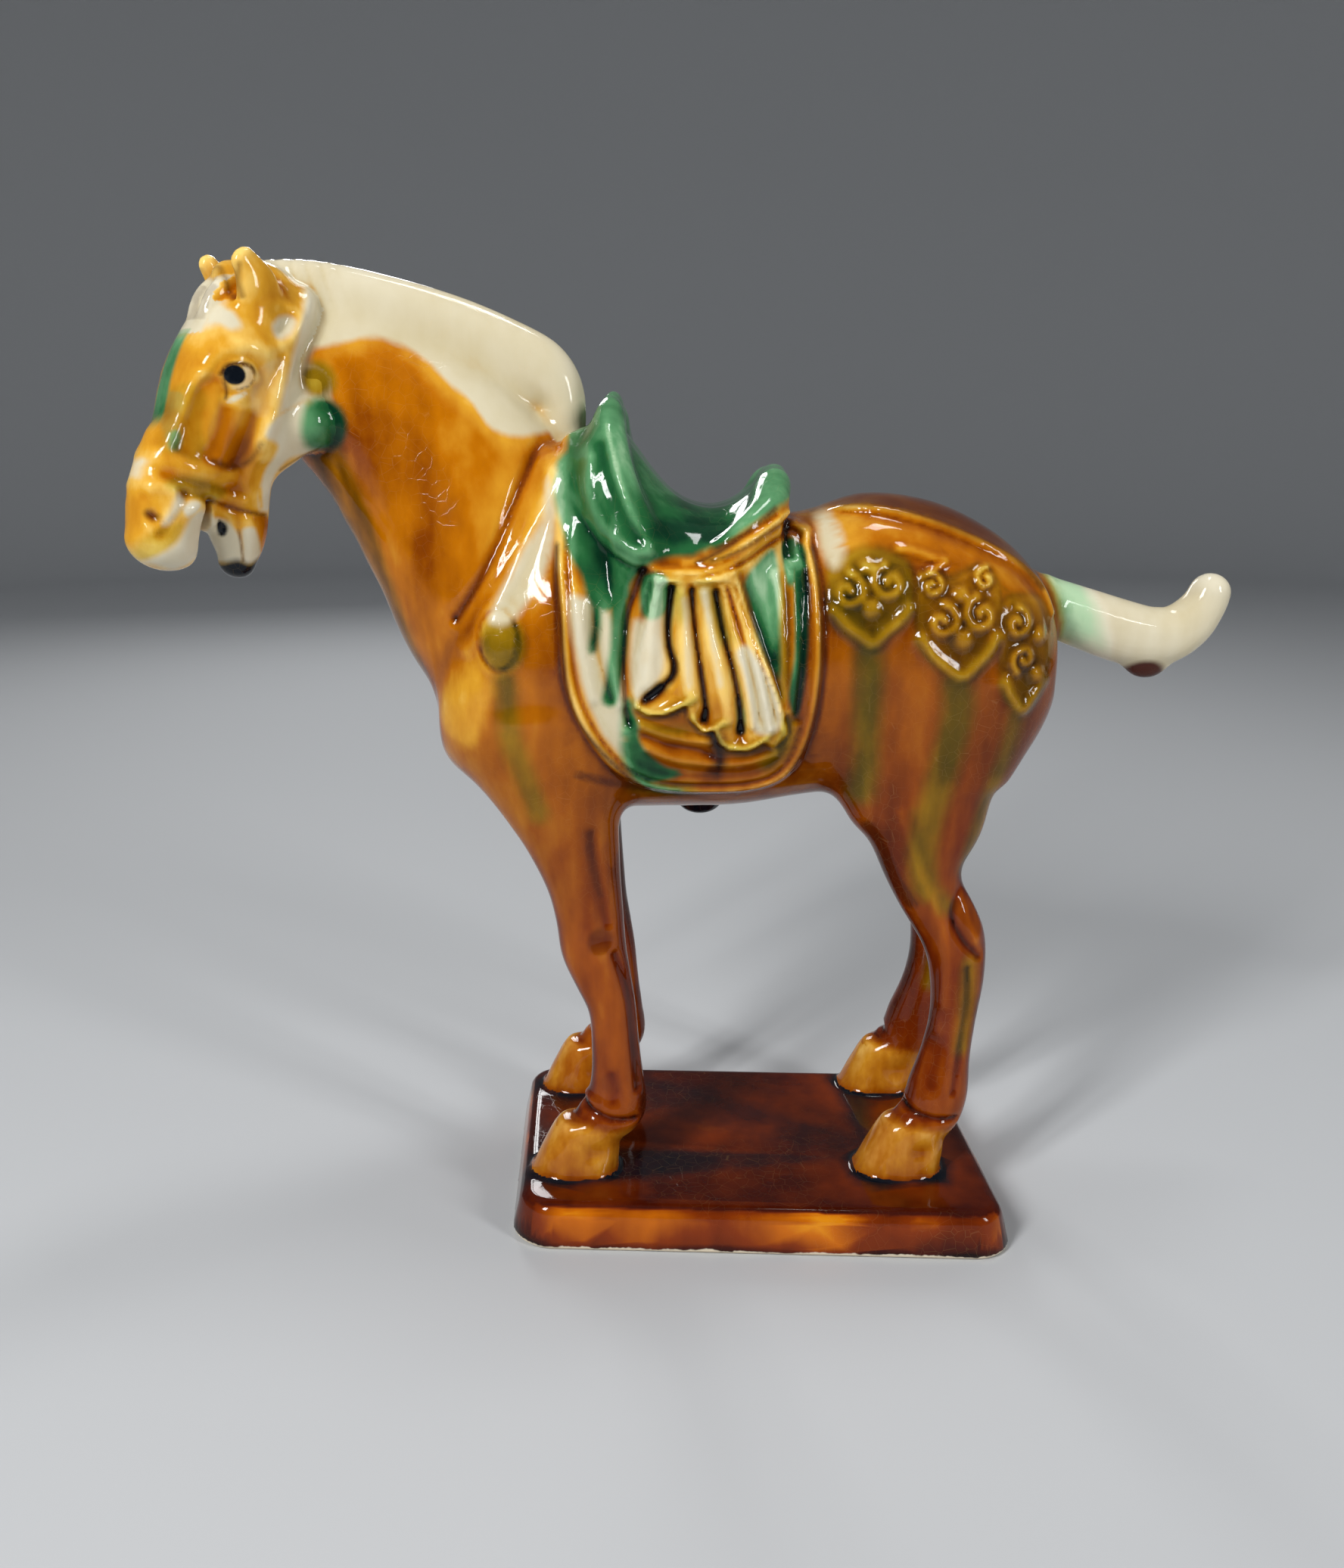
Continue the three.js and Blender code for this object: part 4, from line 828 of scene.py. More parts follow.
def eased(points, faces, times, amount=0.5):
    """Each point moves part of the way to the middle of its neighbours, then back out a little."""
    a = faces.reshape(-1)
    b = np.roll(faces, 1, 1).reshape(-1)
    a, b = np.concatenate([a, b]), np.concatenate([b, a])
    count = np.bincount(a, minlength=len(points))[:, None]
    for _ in range(times):
        for share in (amount, -amount * 1.04):
            middle = np.stack([np.bincount(a, points[b, k], len(points)) for k in range(3)], 1) / count
            points = points + share * (middle - points)
    return points


def solid_mesh(name, points, faces):
    """A Blender mesh from arrays of points in millimetres and four-cornered faces."""
    mesh = bpy.data.meshes.new(name)
    mesh.vertices.add(len(points))
    mesh.vertices.foreach_set("co", (points * 0.001).astype(np.float32).reshape(-1))
    mesh.loops.add(faces.size)
    mesh.loops.foreach_set("vertex_index", faces.astype(np.int32).reshape(-1))
    mesh.polygons.add(len(faces))
    mesh.polygons.foreach_set("loop_start", np.arange(0, faces.size, 4, dtype=np.int32))
    mesh.update(calc_edges=True)
    return mesh


SKIN_GRID = 0.6
SKIN_TRIANGLES = 197000
skin_points, skin_faces = surface(whole, (-131, -42, -1.9), (108, 42, 209), SKIN_GRID)
skin_points = eased(skin_points, skin_faces, 2)
skin_points[:, 2] = np.maximum(skin_points[:, 2], 0)
rough_casting = bpy.data.objects.new("rough_casting", solid_mesh("rough_casting", skin_points, skin_faces))
bpy.context.scene.collection.objects.link(rough_casting)
thinning = rough_casting.modifiers.new("thinning", "DECIMATE")
thinning.ratio = min(1, SKIN_TRIANGLES / (2 * len(skin_faces)))
body = np.flatnonzero((skin_points[:, 0] > -86) | (skin_points[:, 1] > 10) | (skin_points[:, 2] < 142))
rough_casting.vertex_groups.new(name="body").add(body.tolist(), 1.0, "REPLACE")
thinning.vertex_group = "body"
skin = bpy.data.meshes.new_from_object(rough_casting.evaluated_get(bpy.context.evaluated_depsgraph_get()))
bpy.data.objects.remove(rough_casting)
skin.name = "tomb_horse_glazed"
skin.shade_smooth()
casting = bpy.data.objects.new("tomb_horse_glazed", skin)
bpy.context.scene.collection.objects.link(casting)
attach(casting, "root")
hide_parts("tomb_horse")


# Where the glazes lie. Lead glazes in amber, cream, green and a little blue-black were brushed on by area and ran
# together in the kiln. Each glaze's area is kept on the skin as a distance, above 0 where it lies, in units of
# how softly its edge has run. Areas are outlines in the plane of the flank, or in the plane of the head.
skin_points = np.empty(len(skin.vertices) * 3, np.float32)
skin.vertices.foreach_get("co", skin_points)
skin_points = skin_points.reshape(-1, 3) * 1000
normals = np.empty(len(skin.vertices) * 3, np.float32)
skin.vertices.foreach_get("normal", normals)
normals = normals.reshape(-1, 3)
across = np.cross(normals, (0.3, 0.2, 0.93))
across /= np.linalg.norm(across, axis=1, keepdims=True) + 1e-9
along = np.cross(normals, across)


def hollow(reach):
    """How far the clay stands up round each point at a reach, in mm: above 0 in hollows, below 0 on ridges."""
    total = sum(whole(skin_points + reach * d) for d in (across, -across, along, -along))
    return -total / 4


q = skin_points - HORSE_PLACE
bx, by, bz = q.T
hx, hy, hz = head_frame(q)
parts = {
    "body": np.minimum(trunk(q), limb(q, MUSCLE)), "legs": legs(q), "tail": limb(q, TAIL), "saddle": saddle(q),
    "mane": limb(q, MANE), "head": head(q), "slab": slab(skin_points),
}
over = {name: np.min([d for other, d in parts.items() if other != name], 0) - parts[name] for name in parts}
on_head = (over["head"] > -0.6) & (hx < -88)
FLANK = (bx, bz, ~on_head)
FACE = (hx, hz, on_head)
glazes = ("cream", "green", "olive", "black", "brown", "thin", "thick", "amber")
laid = {name: np.full(len(q), -6.0) for name in glazes}


def lay(name, distance, soft=1.0, most=6.0, where=True):
    """Adds an area to a glaze, from its distance in mm; the most it may be holds back a thin wash."""
    laid[name] = np.where(where, np.maximum(laid[name], np.minimum(distance / soft, most)), laid[name])


def patch(name, plane, points, soft=1.0, most=6.0):
    """Lays a glaze inside a smooth outline through the points, in the plane of the flank or of the head."""
    x, z, where = plane
    lay(name, outline(rounded(points, 8 * len(points)), x, z), soft, most, where)


def stroke(name, plane, points, width, soft=1.0, most=6.0):
    """Lays a glaze within a width of a smooth line through the points."""
    x, z, where = plane
    lay(name, width - path(points, x, z, 6 * len(points))[0], soft, most, where)


# cream: the neck's upper part, mane, shoulder ridge, croup, tail and parts of the cloths
edge = spline([
    (-97, 172), (-92, 175.8), (-86.6, 177.2), (-82, 178.0), (-76.2, 179.2), (-71.2, 177.6), (-66.1, 174.2),
    (-62.2, 170.2), (-57.8, 166.9), (-54.2, 162.2), (-50.5, 160.0), (-44.6, 160.3), (-38, 162.5), (-33, 167),
], 90)
border = np.interp(bx, edge[:, 0], edge[:, 1])
lay("cream", bz - border, where=~on_head & (bx < -32) & (over["saddle"] < 0.5))
lay("cream", over["mane"] + 1.5, where=bz > 158)
patch("cream", FLANK, [
    (-41.8, 151.9), (-39.8, 147), (-40.2, 139), (-42, 134), (-45, 129.5), (-49, 124.5), (-52.9, 124.2),
    (-51.4, 128.4), (-49.0, 132.9), (-45.6, 139.6), (-43.4, 143.5),
], 1.2, 0.9)
patch("cream", FLANK, [
    (-37.0, 128.9), (-34.5, 128.8), (-30.4, 127.5), (-28.0, 122.1), (-27.0, 116.2), (-26.4, 110.6), (-26.0, 107.0),
    (-26.4, 102.2), (-26.3, 96.6), (-30.3, 101.1), (-33.2, 107.0), (-34.9, 112.6), (-36.3, 120.6),
], 1.0)
patch("cream", FLANK, [
    (-24.5, 123.6), (-22.5, 124.6), (-19.0, 127.5), (-18.8, 121.2), (-18.5, 116.3), (-19.6, 113.2), (-22.1, 110.7),
    (-24.1, 109.1), (-25.1, 113.7),
], 1.2, 0.6)
patch("cream", FLANK, [
    (-4.1, 118.7), (-1.6, 119.2), (3.6, 110.6), (4.5, 103.3), (0.2, 102.3), (-1.5, 108.6), (-3.0, 114.7),
], 0.9)
stroke("cream", FLANK, [(-14.2, 128.8), (-13.7, 119.9), (-13.4, 112.0)], 0.6, 1.0, 0.2)
stroke("cream", FLANK, [(-10.6, 130.5), (-9.0, 121.9), (-7.3, 112.1)], 0.6, 1.0, 0.4)
patch("cream", FLANK, [(12.9, 143.3), (15.9, 144.3), (17.7, 138.8), (16.0, 134.6), (14.1, 135.9)], 1.4, 0.7)
lay("cream", bx - 69.5, 1.5, where=over["tail"] > -1)
# green: the saddle, the blanket's front, below the cloth, the tail's root
patch("green", FLANK, [
    (-33.4, 164.2), (-36, 158.8), (-39.6, 155.7), (-40.2, 152.7), (-40.7, 149.3), (-40.1, 145.4), (-38.7, 141.2),
    (-37.2, 137.3), (-34.5, 133.2), (-33.0, 128.4), (-30.0, 126.5), (-25.5, 128.4), (-24.6, 132), (-20, 136.4),
    (-13.1, 137.0), (-11.6, 137.6), (-7.6, 139.6), (-3.0, 143.8), (3.7, 147.8), (8, 150), (16, 154), (10, 178),
    (-31, 178),
])
lay("green", np.minimum(np.minimum(over["saddle"], bx + 38), (bz - 138.5 - 0.62 * np.maximum(bx + 8, 0)) * 0.8))
stroke("green", FLANK, [(-27.2, 130), (-27.2, 122), (-28.4, 113), (-29.2, 109)], 1.6, 0.9)
patch("green", FLANK, [(-22.8, 133.3), (-17.8, 133.3), (-17.8, 126.5), (-22.5, 125.6)], 0.8)
patch("green", FLANK, [
    (-25.6, 107.0), (-23.6, 104.4), (-22.9, 99.5), (-18.6, 94.7), (-14.5, 92.8), (-18.6, 90.9), (-22.8, 90.8),
    (-26.5, 95.1), (-26.6, 101.1),
], 0.8)
stroke("green", FLANK, [(-31.8, 130), (-31.8, 124), (-32.6, 119)], 0.8, 0.9, 1.2)
for valley in PLEATS:
    stroke("green", FLANK, valley, 0.6, 0.9, 0.0)
stroke("green", FLANK, [(-25.6, 108), (-26.2, 100), (-25.2, 94), (-21.5, 89.5), (-16, 88)], 1.2, 1.2)
patch("green", FLANK, [
    (-2.8, 132.5), (0.8, 137.2), (3.4, 138.2), (4.5, 133.3), (4.4, 123.6), (4.6, 114.7), (3.6, 113.7), (0.4, 120.7),
    (-2.0, 128.6),
], 0.8)
patch("green", FLANK, [(5.0, 138.6), (7.9, 139.6), (8.1, 134.9), (7.2, 131.2), (5.5, 132.1)], 0.7)
patch("green", FLANK, [
    (7.0, 137.6), (9.9, 137.2), (10.2, 119.5), (8.5, 105.6), (6.4, 109.7), (7.4, 118), (7.3, 128),
], 0.6)
lay(
    "green", np.minimum(4.2 - np.abs(bx - 70.5 + (bz - 120) * 0.3), (bz - 116.5) * 0.7), 2.6, 0.9,
    over["tail"] > -1,
)
lay("green", 5.3 - np.hypot(np.hypot(hx + 96.0, np.abs(hy) - 10.5), hz - 162.0), 1.0, where=np.abs(hy) > 8)
# olive: pendants and boss, their drips, the tops of the pleats, the throat
for plate, scrolls, beads, chevron in PENDANTS:
    patch("olive", FLANK, plate, 1.6, 0.1)
    stroke("olive", FLANK, chevron, 1.4, 1.0, 0.35)
patch("olive", FLANK, PENDANTS[0][0], 1.6, 0.5)
lay("olive", 4.4 - np.hypot(bx + 50.6, (bz - 119.4) / 1.3), 1.3, 0.8, ~on_head)
for drip, width, most in (
    ([(22.4, 119.5), (22.6, 112), (22.8, 103), (23.2, 95), (22.6, 88)], 2.4, 1.0),
    ([(40, 112), (40.6, 106), (39.4, 98), (37.6, 88), (36, 76), (37.4, 66)], 2.6, 0.7),
    ([(53.6, 107), (52.6, 98), (50, 88), (47.6, 77), (46.6, 70)], 1.4, 0.5),
    ([(-50.4, 112), (-50.2, 106), (-49.4, 99.2), (-46.8, 91.1), (-44.6, 84.1)], 1.9, 0.6),
    ([(47.4, 49), (47.5, 43.3), (47.3, 36.9), (46.6, 30)], 1.2, 0.5),
    ([(-88, 158), (-85.5, 150), (-82, 140), (-79, 130), (-76, 120), (-73.5, 110)], 3.4, 0.3),
    ([(-16.4, 131.3), (-15.0, 128.5), (-14.6, 126)], 1.4, 0.8),
    ([(-10.6, 131), (-8.6, 127), (-6.6, 121.5)], 1.4, 0.6),
    ([(5.0, 131.0), (4.6, 124), (5.1, 116), (4.8, 109.6)], 1.1, 0.8),
    ([(-24.2, 107.6), (-22.1, 105.9), (-18.6, 105.9), (-14.8, 107.6), (-12.4, 109.2)], 0.9, 0.9),
    ([(-13.0, 105.4), (-11.4, 102.6), (-8.9, 102.4), (-6.8, 104.0)], 0.9, 0.9),
    ([(-7.8, 101.8), (-6.3, 99.2), (-2.7, 98.5), (0.8, 99.4), (3.0, 102.4)], 0.9, 0.5),
    ([(-23.1, 104.0), (-18.6, 102.6), (-14.5, 102.4)], 0.9, 0.9),
    ([(2.9, 95.2), (5.6, 99.5), (6.2, 104)], 1.6, 0.8), ([(-24, 89.2), (-18, 88), (-14, 88)], 1.6, 0.9),
    ([(35.3, 83.9), (35.3, 75.5), (37.6, 68.0), (41.4, 62.4)], 1.6, 0.5),
):
    stroke("olive", FLANK, drip, width + 0.2, 2.2, most - 0.1)
# blue-black: pools in the pleats, under the belly, round the hooves
for pool, width in (
    (PLEATS[0], 0.35), ([(-19.2, 111.4), (-21.2, 109.6)], 1.3),
    ([(-11.4, 116), (-10.6, 110.6), (-10.1, 106.6), (-10.4, 104.8)], 0.4),
    ([(-3.7, 109), (-3.2, 105.6), (-3.0, 102.4)], 0.5),
    ([(-24.0, 130.4), (-25.8, 124.6), (-26.5, 116.2), (-26.3, 108.6)], 0.0),
    ([(9.9, 131.6), (10.1, 122), (9.9, 114), (8.8, 106)], -0.2),
):
    stroke("black", FLANK, pool, width, 0.8, 1.2 if width > 0.45 else 0.2)
stroke("black", FLANK, [(-8.4, 101.2), (-7.2, 97.4), (-7.4, 94.6), (-8.9, 91.6)], 1.2, 1.6, 0.6)
lay(
    "black", 3.4 - parts["legs"] + 1.3 * np.sin(bx * 0.45 + 1) + 0.8 * np.sin(by * 0.7), 3.0, 0.9,
    over["slab"] > -0.5,
)
lay("black", 4.4 - np.hypot((bx + 10.6) / 1.6, bz - 79.0), 1.0, 1.4, np.abs(by) < 9)
lay("brown", 3.0 - np.hypot((bx - 86.6) / 1.5, bz - 109.6), 0.8, 1.4, over["tail"] > -4)
# brown: creases where the strap and blanket lie, the spine, the piping
for crease, width, most in (
    ([(-46.4, 155.4), (-48.4, 147.5), (-50.1, 139.6), (-53.0, 135.1), (-57.3, 129.4), (-61.4, 120.9),
        (-63.9, 113.8)], 0.5, -0.6),
    ([(-39.7, 138.9), (-39.7, 132), (-38.9, 124), (-38.5, 116.5), (-37.8, 110), (-35.6, 104), (-31.6, 98.4),
        (-27.2, 93.4), (-23.4, 89.4)], 0.55, 0.8),
    ([(-12.1, 136.0), (-7, 138.6), (-1.6, 142.4), (3.4, 146.0)], 0.4, 0.7),
    ([(-9.5, 136.4), (-4.0, 138.4), (1.2, 141.2), (6, 143.6)], 0.25, 0.4),
    ([(11.4, 138), (12.6, 128), (12.8, 114), (11.2, 101), (7.5, 92)], 0.5, 0.6),
    ([(13.2, 146.0), (24.5, 146.6), (34.5, 144.4), (44.7, 140.6), (53.1, 136.0), (59.4, 129.6)], 0.6, 0.4),
    ([(34.8, 62.4), (31.5, 67.0), (28.6, 73), (24.6, 80)], 1.2, 0.3),
    ([(-36, 92.6), (-29, 90.2), (-22, 88)], 0.8, 0.3),
):
    stroke("brown", FLANK, crease, width, 0.8, most)
for mark, width, soft, most in (
    ([(-32.2, 55.5), (-32.2, 54.9)], 2.1, 1.5, 0.0),
    ([(-34.5, 77.7), (-33.4, 72.0), (-32.1, 65.5)], 0.4, 0.9, -0.1),
    ([(-30.2, 22.4), (-30.2, 21.8)], 1.6, 1.3, -0.3), ([(44.6, 61.8), (47.4, 52.2)], 0.9, 1.2, -0.2),
):
    stroke("brown", FLANK, mark, width, soft, most)
spine = bz - np.interp(
    bx, [10, 12.2, 17.6, 24.9, 32.3, 39.7, 48.1, 54.8, 60.0, 70],
    [160, 144.9, 145.9, 146.1, 144.6, 141.8, 138.4, 134.3, 131.0, 128],
)
lay("brown", spine, 1.4, 0.45, (bx > 11) & (over["tail"] < 0))
# the face: forelock, forehead, temple, eye, cheek, strap, muzzle and lower jaw
for name, points, soft, most in (
    ("cream", [(-116.7, 180.9), (-115.4, 183.9), (-113.8, 186.5), (-113.7, 187.1), (-114.7, 185.2),
        (-115.8, 182.4)], 0.5, 6),
    ("cream", [(-116.5, 180.8), (-115.0, 183.4), (-113.1, 186.1), (-111.3, 187.7), (-110.6, 186.9),
        (-112.5, 184.1), (-111.6, 182.3), (-111.3, 180.2), (-113.0, 179.6), (-114.6, 180.5), (-116.8, 179.5),
        (-118.1, 178.9), (-117.2, 180.3)], 0.9, 1.4),
    ("cream", [(-105.1, 180.5), (-103.1, 182.0), (-100.6, 182.3), (-100.1, 181.1), (-101.7, 178.9),
        (-104.4, 178.1)], 0.9, 0.9),
    ("cream", [(-115.3, 166.2), (-113.9, 167.4), (-111.7, 167.9), (-112.9, 166.8), (-114.6, 166.0)], 0.4, 1.0),
    ("cream", [(-112.1, 172.6), (-111.0, 172.2), (-110.5, 171.1), (-111.3, 169.4), (-113.0, 168.6),
        (-114.3, 168.8), (-113.0, 169.6), (-112.1, 171.2)], 0.5, -0.1),
    ("cream", [(-131.6, 154.0), (-129.6, 155.3), (-130.2, 154.3), (-131.0, 152.5)], 0.9, 0.6),
    ("cream", [(-125.7, 149.2), (-124.6, 147.8), (-126.1, 145.7), (-127.6, 144.0), (-128.4, 143.7),
        (-127.1, 146.1)], 0.8, 0.8),
    ("cream", [(-125.0, 146.4), (-123.4, 147.7), (-121.6, 147.3), (-122.4, 145.8), (-124.2, 144.9)], 0.6, 6),
    ("cream", [(-123.2, 144.9), (-121.4, 145.9), (-118.0, 144.7), (-117.9, 141.8), (-119.8, 138.6),
        (-122.9, 136.3), (-125.9, 134.8), (-129.4, 135.8), (-130.8, 136.5), (-129.1, 138.0), (-126.6, 140.0),
        (-124.5, 143.2)], 0.9, 6),
    ("cream", [(-118.0, 144.7), (-117.3, 144.3), (-115.0, 143.7), (-113.6, 142.2), (-112.4, 140.2),
        (-111.8, 137.2), (-112.0, 135.5), (-114.5, 135.3), (-117.4, 136.0), (-117.6, 140.2)], 0.6, 6),
    ("cream", [(-111.6, 141.6), (-109.6, 141.9), (-108.0, 140.0), (-107.1, 137.6), (-108.6, 135.4),
        (-111.0, 135.2), (-111.4, 138.7)], 0.6, 1.4),
    ("cream", [(-105.9, 163.8), (-102.2, 165.6), (-99.7, 166.2), (-98.6, 162.5), (-97.0, 158.5), (-97.4, 156.6),
        (-101.4, 155.7), (-103.4, 154.3), (-104.4, 152.3), (-104.9, 149.7), (-105.0, 145.6), (-107.3, 145.3),
        (-108.2, 147.6), (-107.2, 151.6), (-106.4, 154.2), (-105.3, 157.8), (-108.1, 159.3), (-108.4, 160.7),
        (-107.4, 162.5)], 0.8, 6),
    ("cream", [(-96.4, 186.0), (-98.9, 181.5), (-100.4, 177.9), (-103.7, 170.0), (-105.9, 164.3), (-103.5, 164.3),
        (-99.2, 166.5), (-96.0, 170.2), (-94.7, 176.7), (-91.3, 182.7), (-88.4, 188.8), (-93, 190)], 1.2, 6),
    ("cream", [(-108.5, 171.3), (-104.5, 173.5), (-104.0, 171.4), (-106.7, 166.8), (-108.8, 164.3),
        (-109.9, 166.0)], 1.8, -0.4),
    ("green", [(-122.6, 167.0), (-123.6, 163.4), (-124.8, 160.0), (-125.4, 160.3), (-124.6, 164.0),
        (-123.6, 167.4)], 1.0, -0.3),
    ("green", [(-125.4, 160.3), (-123.9, 161.0), (-123.4, 159.3), (-124.3, 157.3), (-125.9, 157.8)], 0.9, 0.5),
    ("olive", [(-122.7, 168.0), (-120.8, 168.8), (-119.1, 167.0), (-120.3, 162.4), (-120.3, 157.2),
        (-122.0, 155.8), (-124.4, 157.2), (-126.6, 157.9), (-123.7, 164.2)], 1.6, -0.1),
    ("olive", [(-127.2, 150.7), (-122.4, 148.7), (-117.8, 147.8), (-115.3, 149.5), (-119.5, 151.1),
        (-124.7, 152.3)], 1.2, 0.3),
    ("olive", [(-132.2, 137.9), (-131.6, 140.5), (-128.4, 142.6), (-125.7, 143.2), (-127.2, 140.4),
        (-130.2, 138.0), (-131.3, 136.9)], 1.4, 0.0),
    ("olive", [(-97.5, 171.0), (-94.6, 172.0), (-93.6, 169), (-96.5, 168.4)], 0.9, 0.6),
    ("thick", [(-115.8, 165.2), (-113.4, 164.7), (-109.8, 163.6), (-110.6, 157.9), (-112.5, 155.0),
        (-116.2, 154.3), (-119.1, 154.9), (-119.0, 156.5), (-117.3, 160.4), (-116.4, 163.9)], 1.2, 0.3),
    ("thick", [(-117.1, 154.2), (-113.2, 156.4), (-111.6, 156.8), (-112.5, 154.3), (-115.1, 153.2)], 0.8, 1.4),
    ("thick", [(-109.2, 143.9), (-104.5, 143.2), (-104.2, 140.5), (-106.6, 135.4), (-108.4, 138.5),
        (-108.6, 141.6)], 0.7, 0.4),
    ("black", [(-116.3, 143.7), (-114.9, 143.3), (-114.4, 142.1), (-114.8, 140.6), (-115.6, 140.8)], 0.35, 6),
):
    patch(name, FACE, points, soft, most)
lay(
    "cream",
    3.0 - np.hypot(np.abs(hy) - 2.2, np.interp(hz, [180, 184.6, 188, 190.4], [-116.6, -114.6, -111.2,
        -106.5]) - hx),
    0.9, 1.6, on_head & (hz > 179) & (hz < 190),
)
lay(
    "green", np.minimum(2.9 - np.abs(hy - 1.4), np.minimum(179.6 - hz, hz - 162.5) * 0.5), 0.9, 1.8,
    on_head & (hx < -114) & (hz < 180),
)
lay("black", 1.95 - np.hypot((hx + 113.9) / 1.05, (hz - 171.1) / 0.95), 0.3, where=on_head)
lay("black", 135.2 - hz + 0.5 * np.sin(hx * 1.1), 1.0, where=on_head & (hx > -118.5))
lay("black", 134.0 - hz, 0.9, 0.8, on_head & (hx < -119))
for crease, width, soft, most in (
    ([(-118.1, 155.1), (-113.8, 153.9), (-110.5, 155.2), (-109.0, 158.3)], 0.3, 1.0, 0.2),
    ([(-116.2, 171.2), (-115.2, 172.7), (-113.8, 173.1), (-112.0, 173.1), (-110.6, 172.6),
        (-110.1, 171.6)], 0.35, 0.45, 1.0),
    ([(-110.2, 172.0), (-110.0, 171.0), (-110.5, 169.9), (-111.8, 168.9), (-113.4, 168.5)], 0.1, 0.4, 0.4),
    ([(-115.8, 170.0), (-115.2, 168.4), (-115.5, 166.8)], 0.2, 0.5, 0.5),
    ([(-112.7, 187.7), (-114.2, 185.9), (-114.9, 184.1), (-116.0, 181.7)], 0.1, 0.5, -0.3),
    ([(-118.6, 147.8), (-114.7, 146.5), (-111.9, 145.6), (-108.8, 144.8), (-105.6, 144.2)], 0.2, 0.7, 0.3),
    ([(-124.0, 149.0), (-125.3, 146.7), (-127.0, 144.6), (-129.0, 142.2)], 0.1, 0.9, -0.4),
    ([(-130.4, 145.6), (-129.7, 145.0)], 0.6, 0.8, 0.5),
    ([(-110.4, 191.4), (-110.6, 188), (-110.2, 185.6)], 0.2, 0.8, 0.1),
    ([(-112.5, 141.7), (-111.9, 138.7), (-111.4, 135.5)], 0.1, 0.5, 0.1),
    ([(-95.1, 157.3), (-98.0, 156.3), (-101.1, 154.8), (-103.4, 153.2)], 0.1, 0.6, 0.0),
):
    stroke("brown", FACE, crease, width, soft, most)
stroke("amber", FACE, [(-93.6, 157.0), (-98.0, 155.4), (-101.1, 153.8), (-103.4, 152.2)], 1.1, 0.6)
stroke("amber", FACE, [(-108.0, 149.5), (-107.6, 146)], 0.6, 0.6)
patch("amber", FACE, [(-109.6, 144.6), (-103.1, 144.3), (-103.6, 137.3), (-106.6, 135.4), (-108.2, 139.1)], 0.6)
knob = np.where(
    (np.abs(hy) > 6) & (hz > 166.8), 4.4 - np.hypot(np.hypot(hx + 95.2, np.abs(hy) - 9.2), hz - 170.2), -6,
)
lay("olive", knob, 1.0, 0.8)
lay(
    "cream", np.minimum(1.4 - np.abs(over["head"] - 0.1), np.minimum(187 - hz, hz - 163)), 0.9,
    where=(hx > -104) & (over["mane"] < -2),
)
ears = np.where(on_head & (hz > 185.2) & (hx < -101.5) & (np.abs(np.abs(hy) - 7.6) < 3.6), 3.0, -6)
laid["cream"] = np.minimum(laid["cream"], -np.maximum(np.maximum(laid["amber"], ears), knob))
# where the glaze is thin and pale, and where it is thick; the hooves' pale glaze is partly a painted highlight, and
# the legs' darker edges are partly painted shade
for plane, points, soft, most in (
    (FLANK, [(-56.3, 117.3), (-62.5, 109.9), (-65.1, 105.0), (-63.7, 100.6), (-58.2, 98.5), (-56.0, 104.9),
        (-53.3, 111.1)], 3.0, 0.1),
    (FLANK, [(-26.6, 162.2), (-25.5, 159.2), (-21.7, 154.2), (-16.5, 149.1), (-22.7, 150.3),
        (-26.5, 155.4)], 2.2, -0.1),
    (FLANK, [(-4.8, 144.4), (0.8, 150.7), (4.6, 155.1), (12, 156.5), (8.1, 149.5), (0.5, 147.2)], 2.2, -0.3),
    (FLANK, [(-3.5, 135.5), (1.7, 138.7), (8.1, 139.8), (8.1, 134.9), (6.0, 131.2), (3.4, 118.7), (1.0, 122.6),
        (-2.2, 129.3)], 1.0, 0.9),
    (FLANK, [(-41.6, 156), (-41.2, 146), (-39, 144), (-38, 155)], 1.8, 0.2),
):
    patch("thin", plane, points, soft, most)
lay("thin", bz - 134, 3.0, -0.2, on_head)
lay("thick", 5.3 - np.hypot(np.hypot(hx + 95.4, np.abs(hy) - 11.0), hz - 161.4), 1.6, 0.9, np.abs(hy) > 8)
# the hooves are paler below the coronet: partly their own paler glaze, partly a painted highlight
coronet = 11.5 - 0.15 * (bx % 72 - 36)
lay("thin", np.minimum(over["legs"], (coronet - bz) * 0.7), 1.6, 0.05, bz < 14)
lay("thin", 5.2 - np.abs(bx - 71.5 + (bz - 120) * 0.3), 1.6, 0.9, over["tail"] > -1)
patch("thin", FLANK, CLOTH, 1.5, -0.2)
patch("thick", FLANK, [
    (-25.2, 106.0), (-23.6, 104.4), (-22.9, 99.5), (-18.6, 94.7), (-18.6, 91.9), (-22.8, 91.8), (-25.5, 96.1),
], 1.4, 0.5)
patch("thick", FLANK, [
    (-20.5, 140.6), (-14.1, 139.4), (-8.6, 139.6), (-6.5, 141.7), (-11.4, 143.4), (-18.5, 143.8),
], 2.0, 0.7)
patch("thick", FLANK, [
    (8.0, 133.1), (10.2, 131.2), (10.2, 113.6), (8.3, 105.9), (6.4, 108.5), (8.3, 116.1), (8.6, 123.5),
], 0.8, 0.6)
stroke("thick", FLANK, [
    (-88, 158), (-85.5, 150), (-82, 140), (-79, 130), (-76, 120), (-73.5, 110), (-69, 98),
], 3.6, 2.4, 0.6)
patch("thick", FLANK, [
    (-84, 160), (-72, 162), (-64, 152), (-58, 140), (-62, 128), (-70, 122), (-78, 132), (-83, 146),
], 5.0, -0.25)
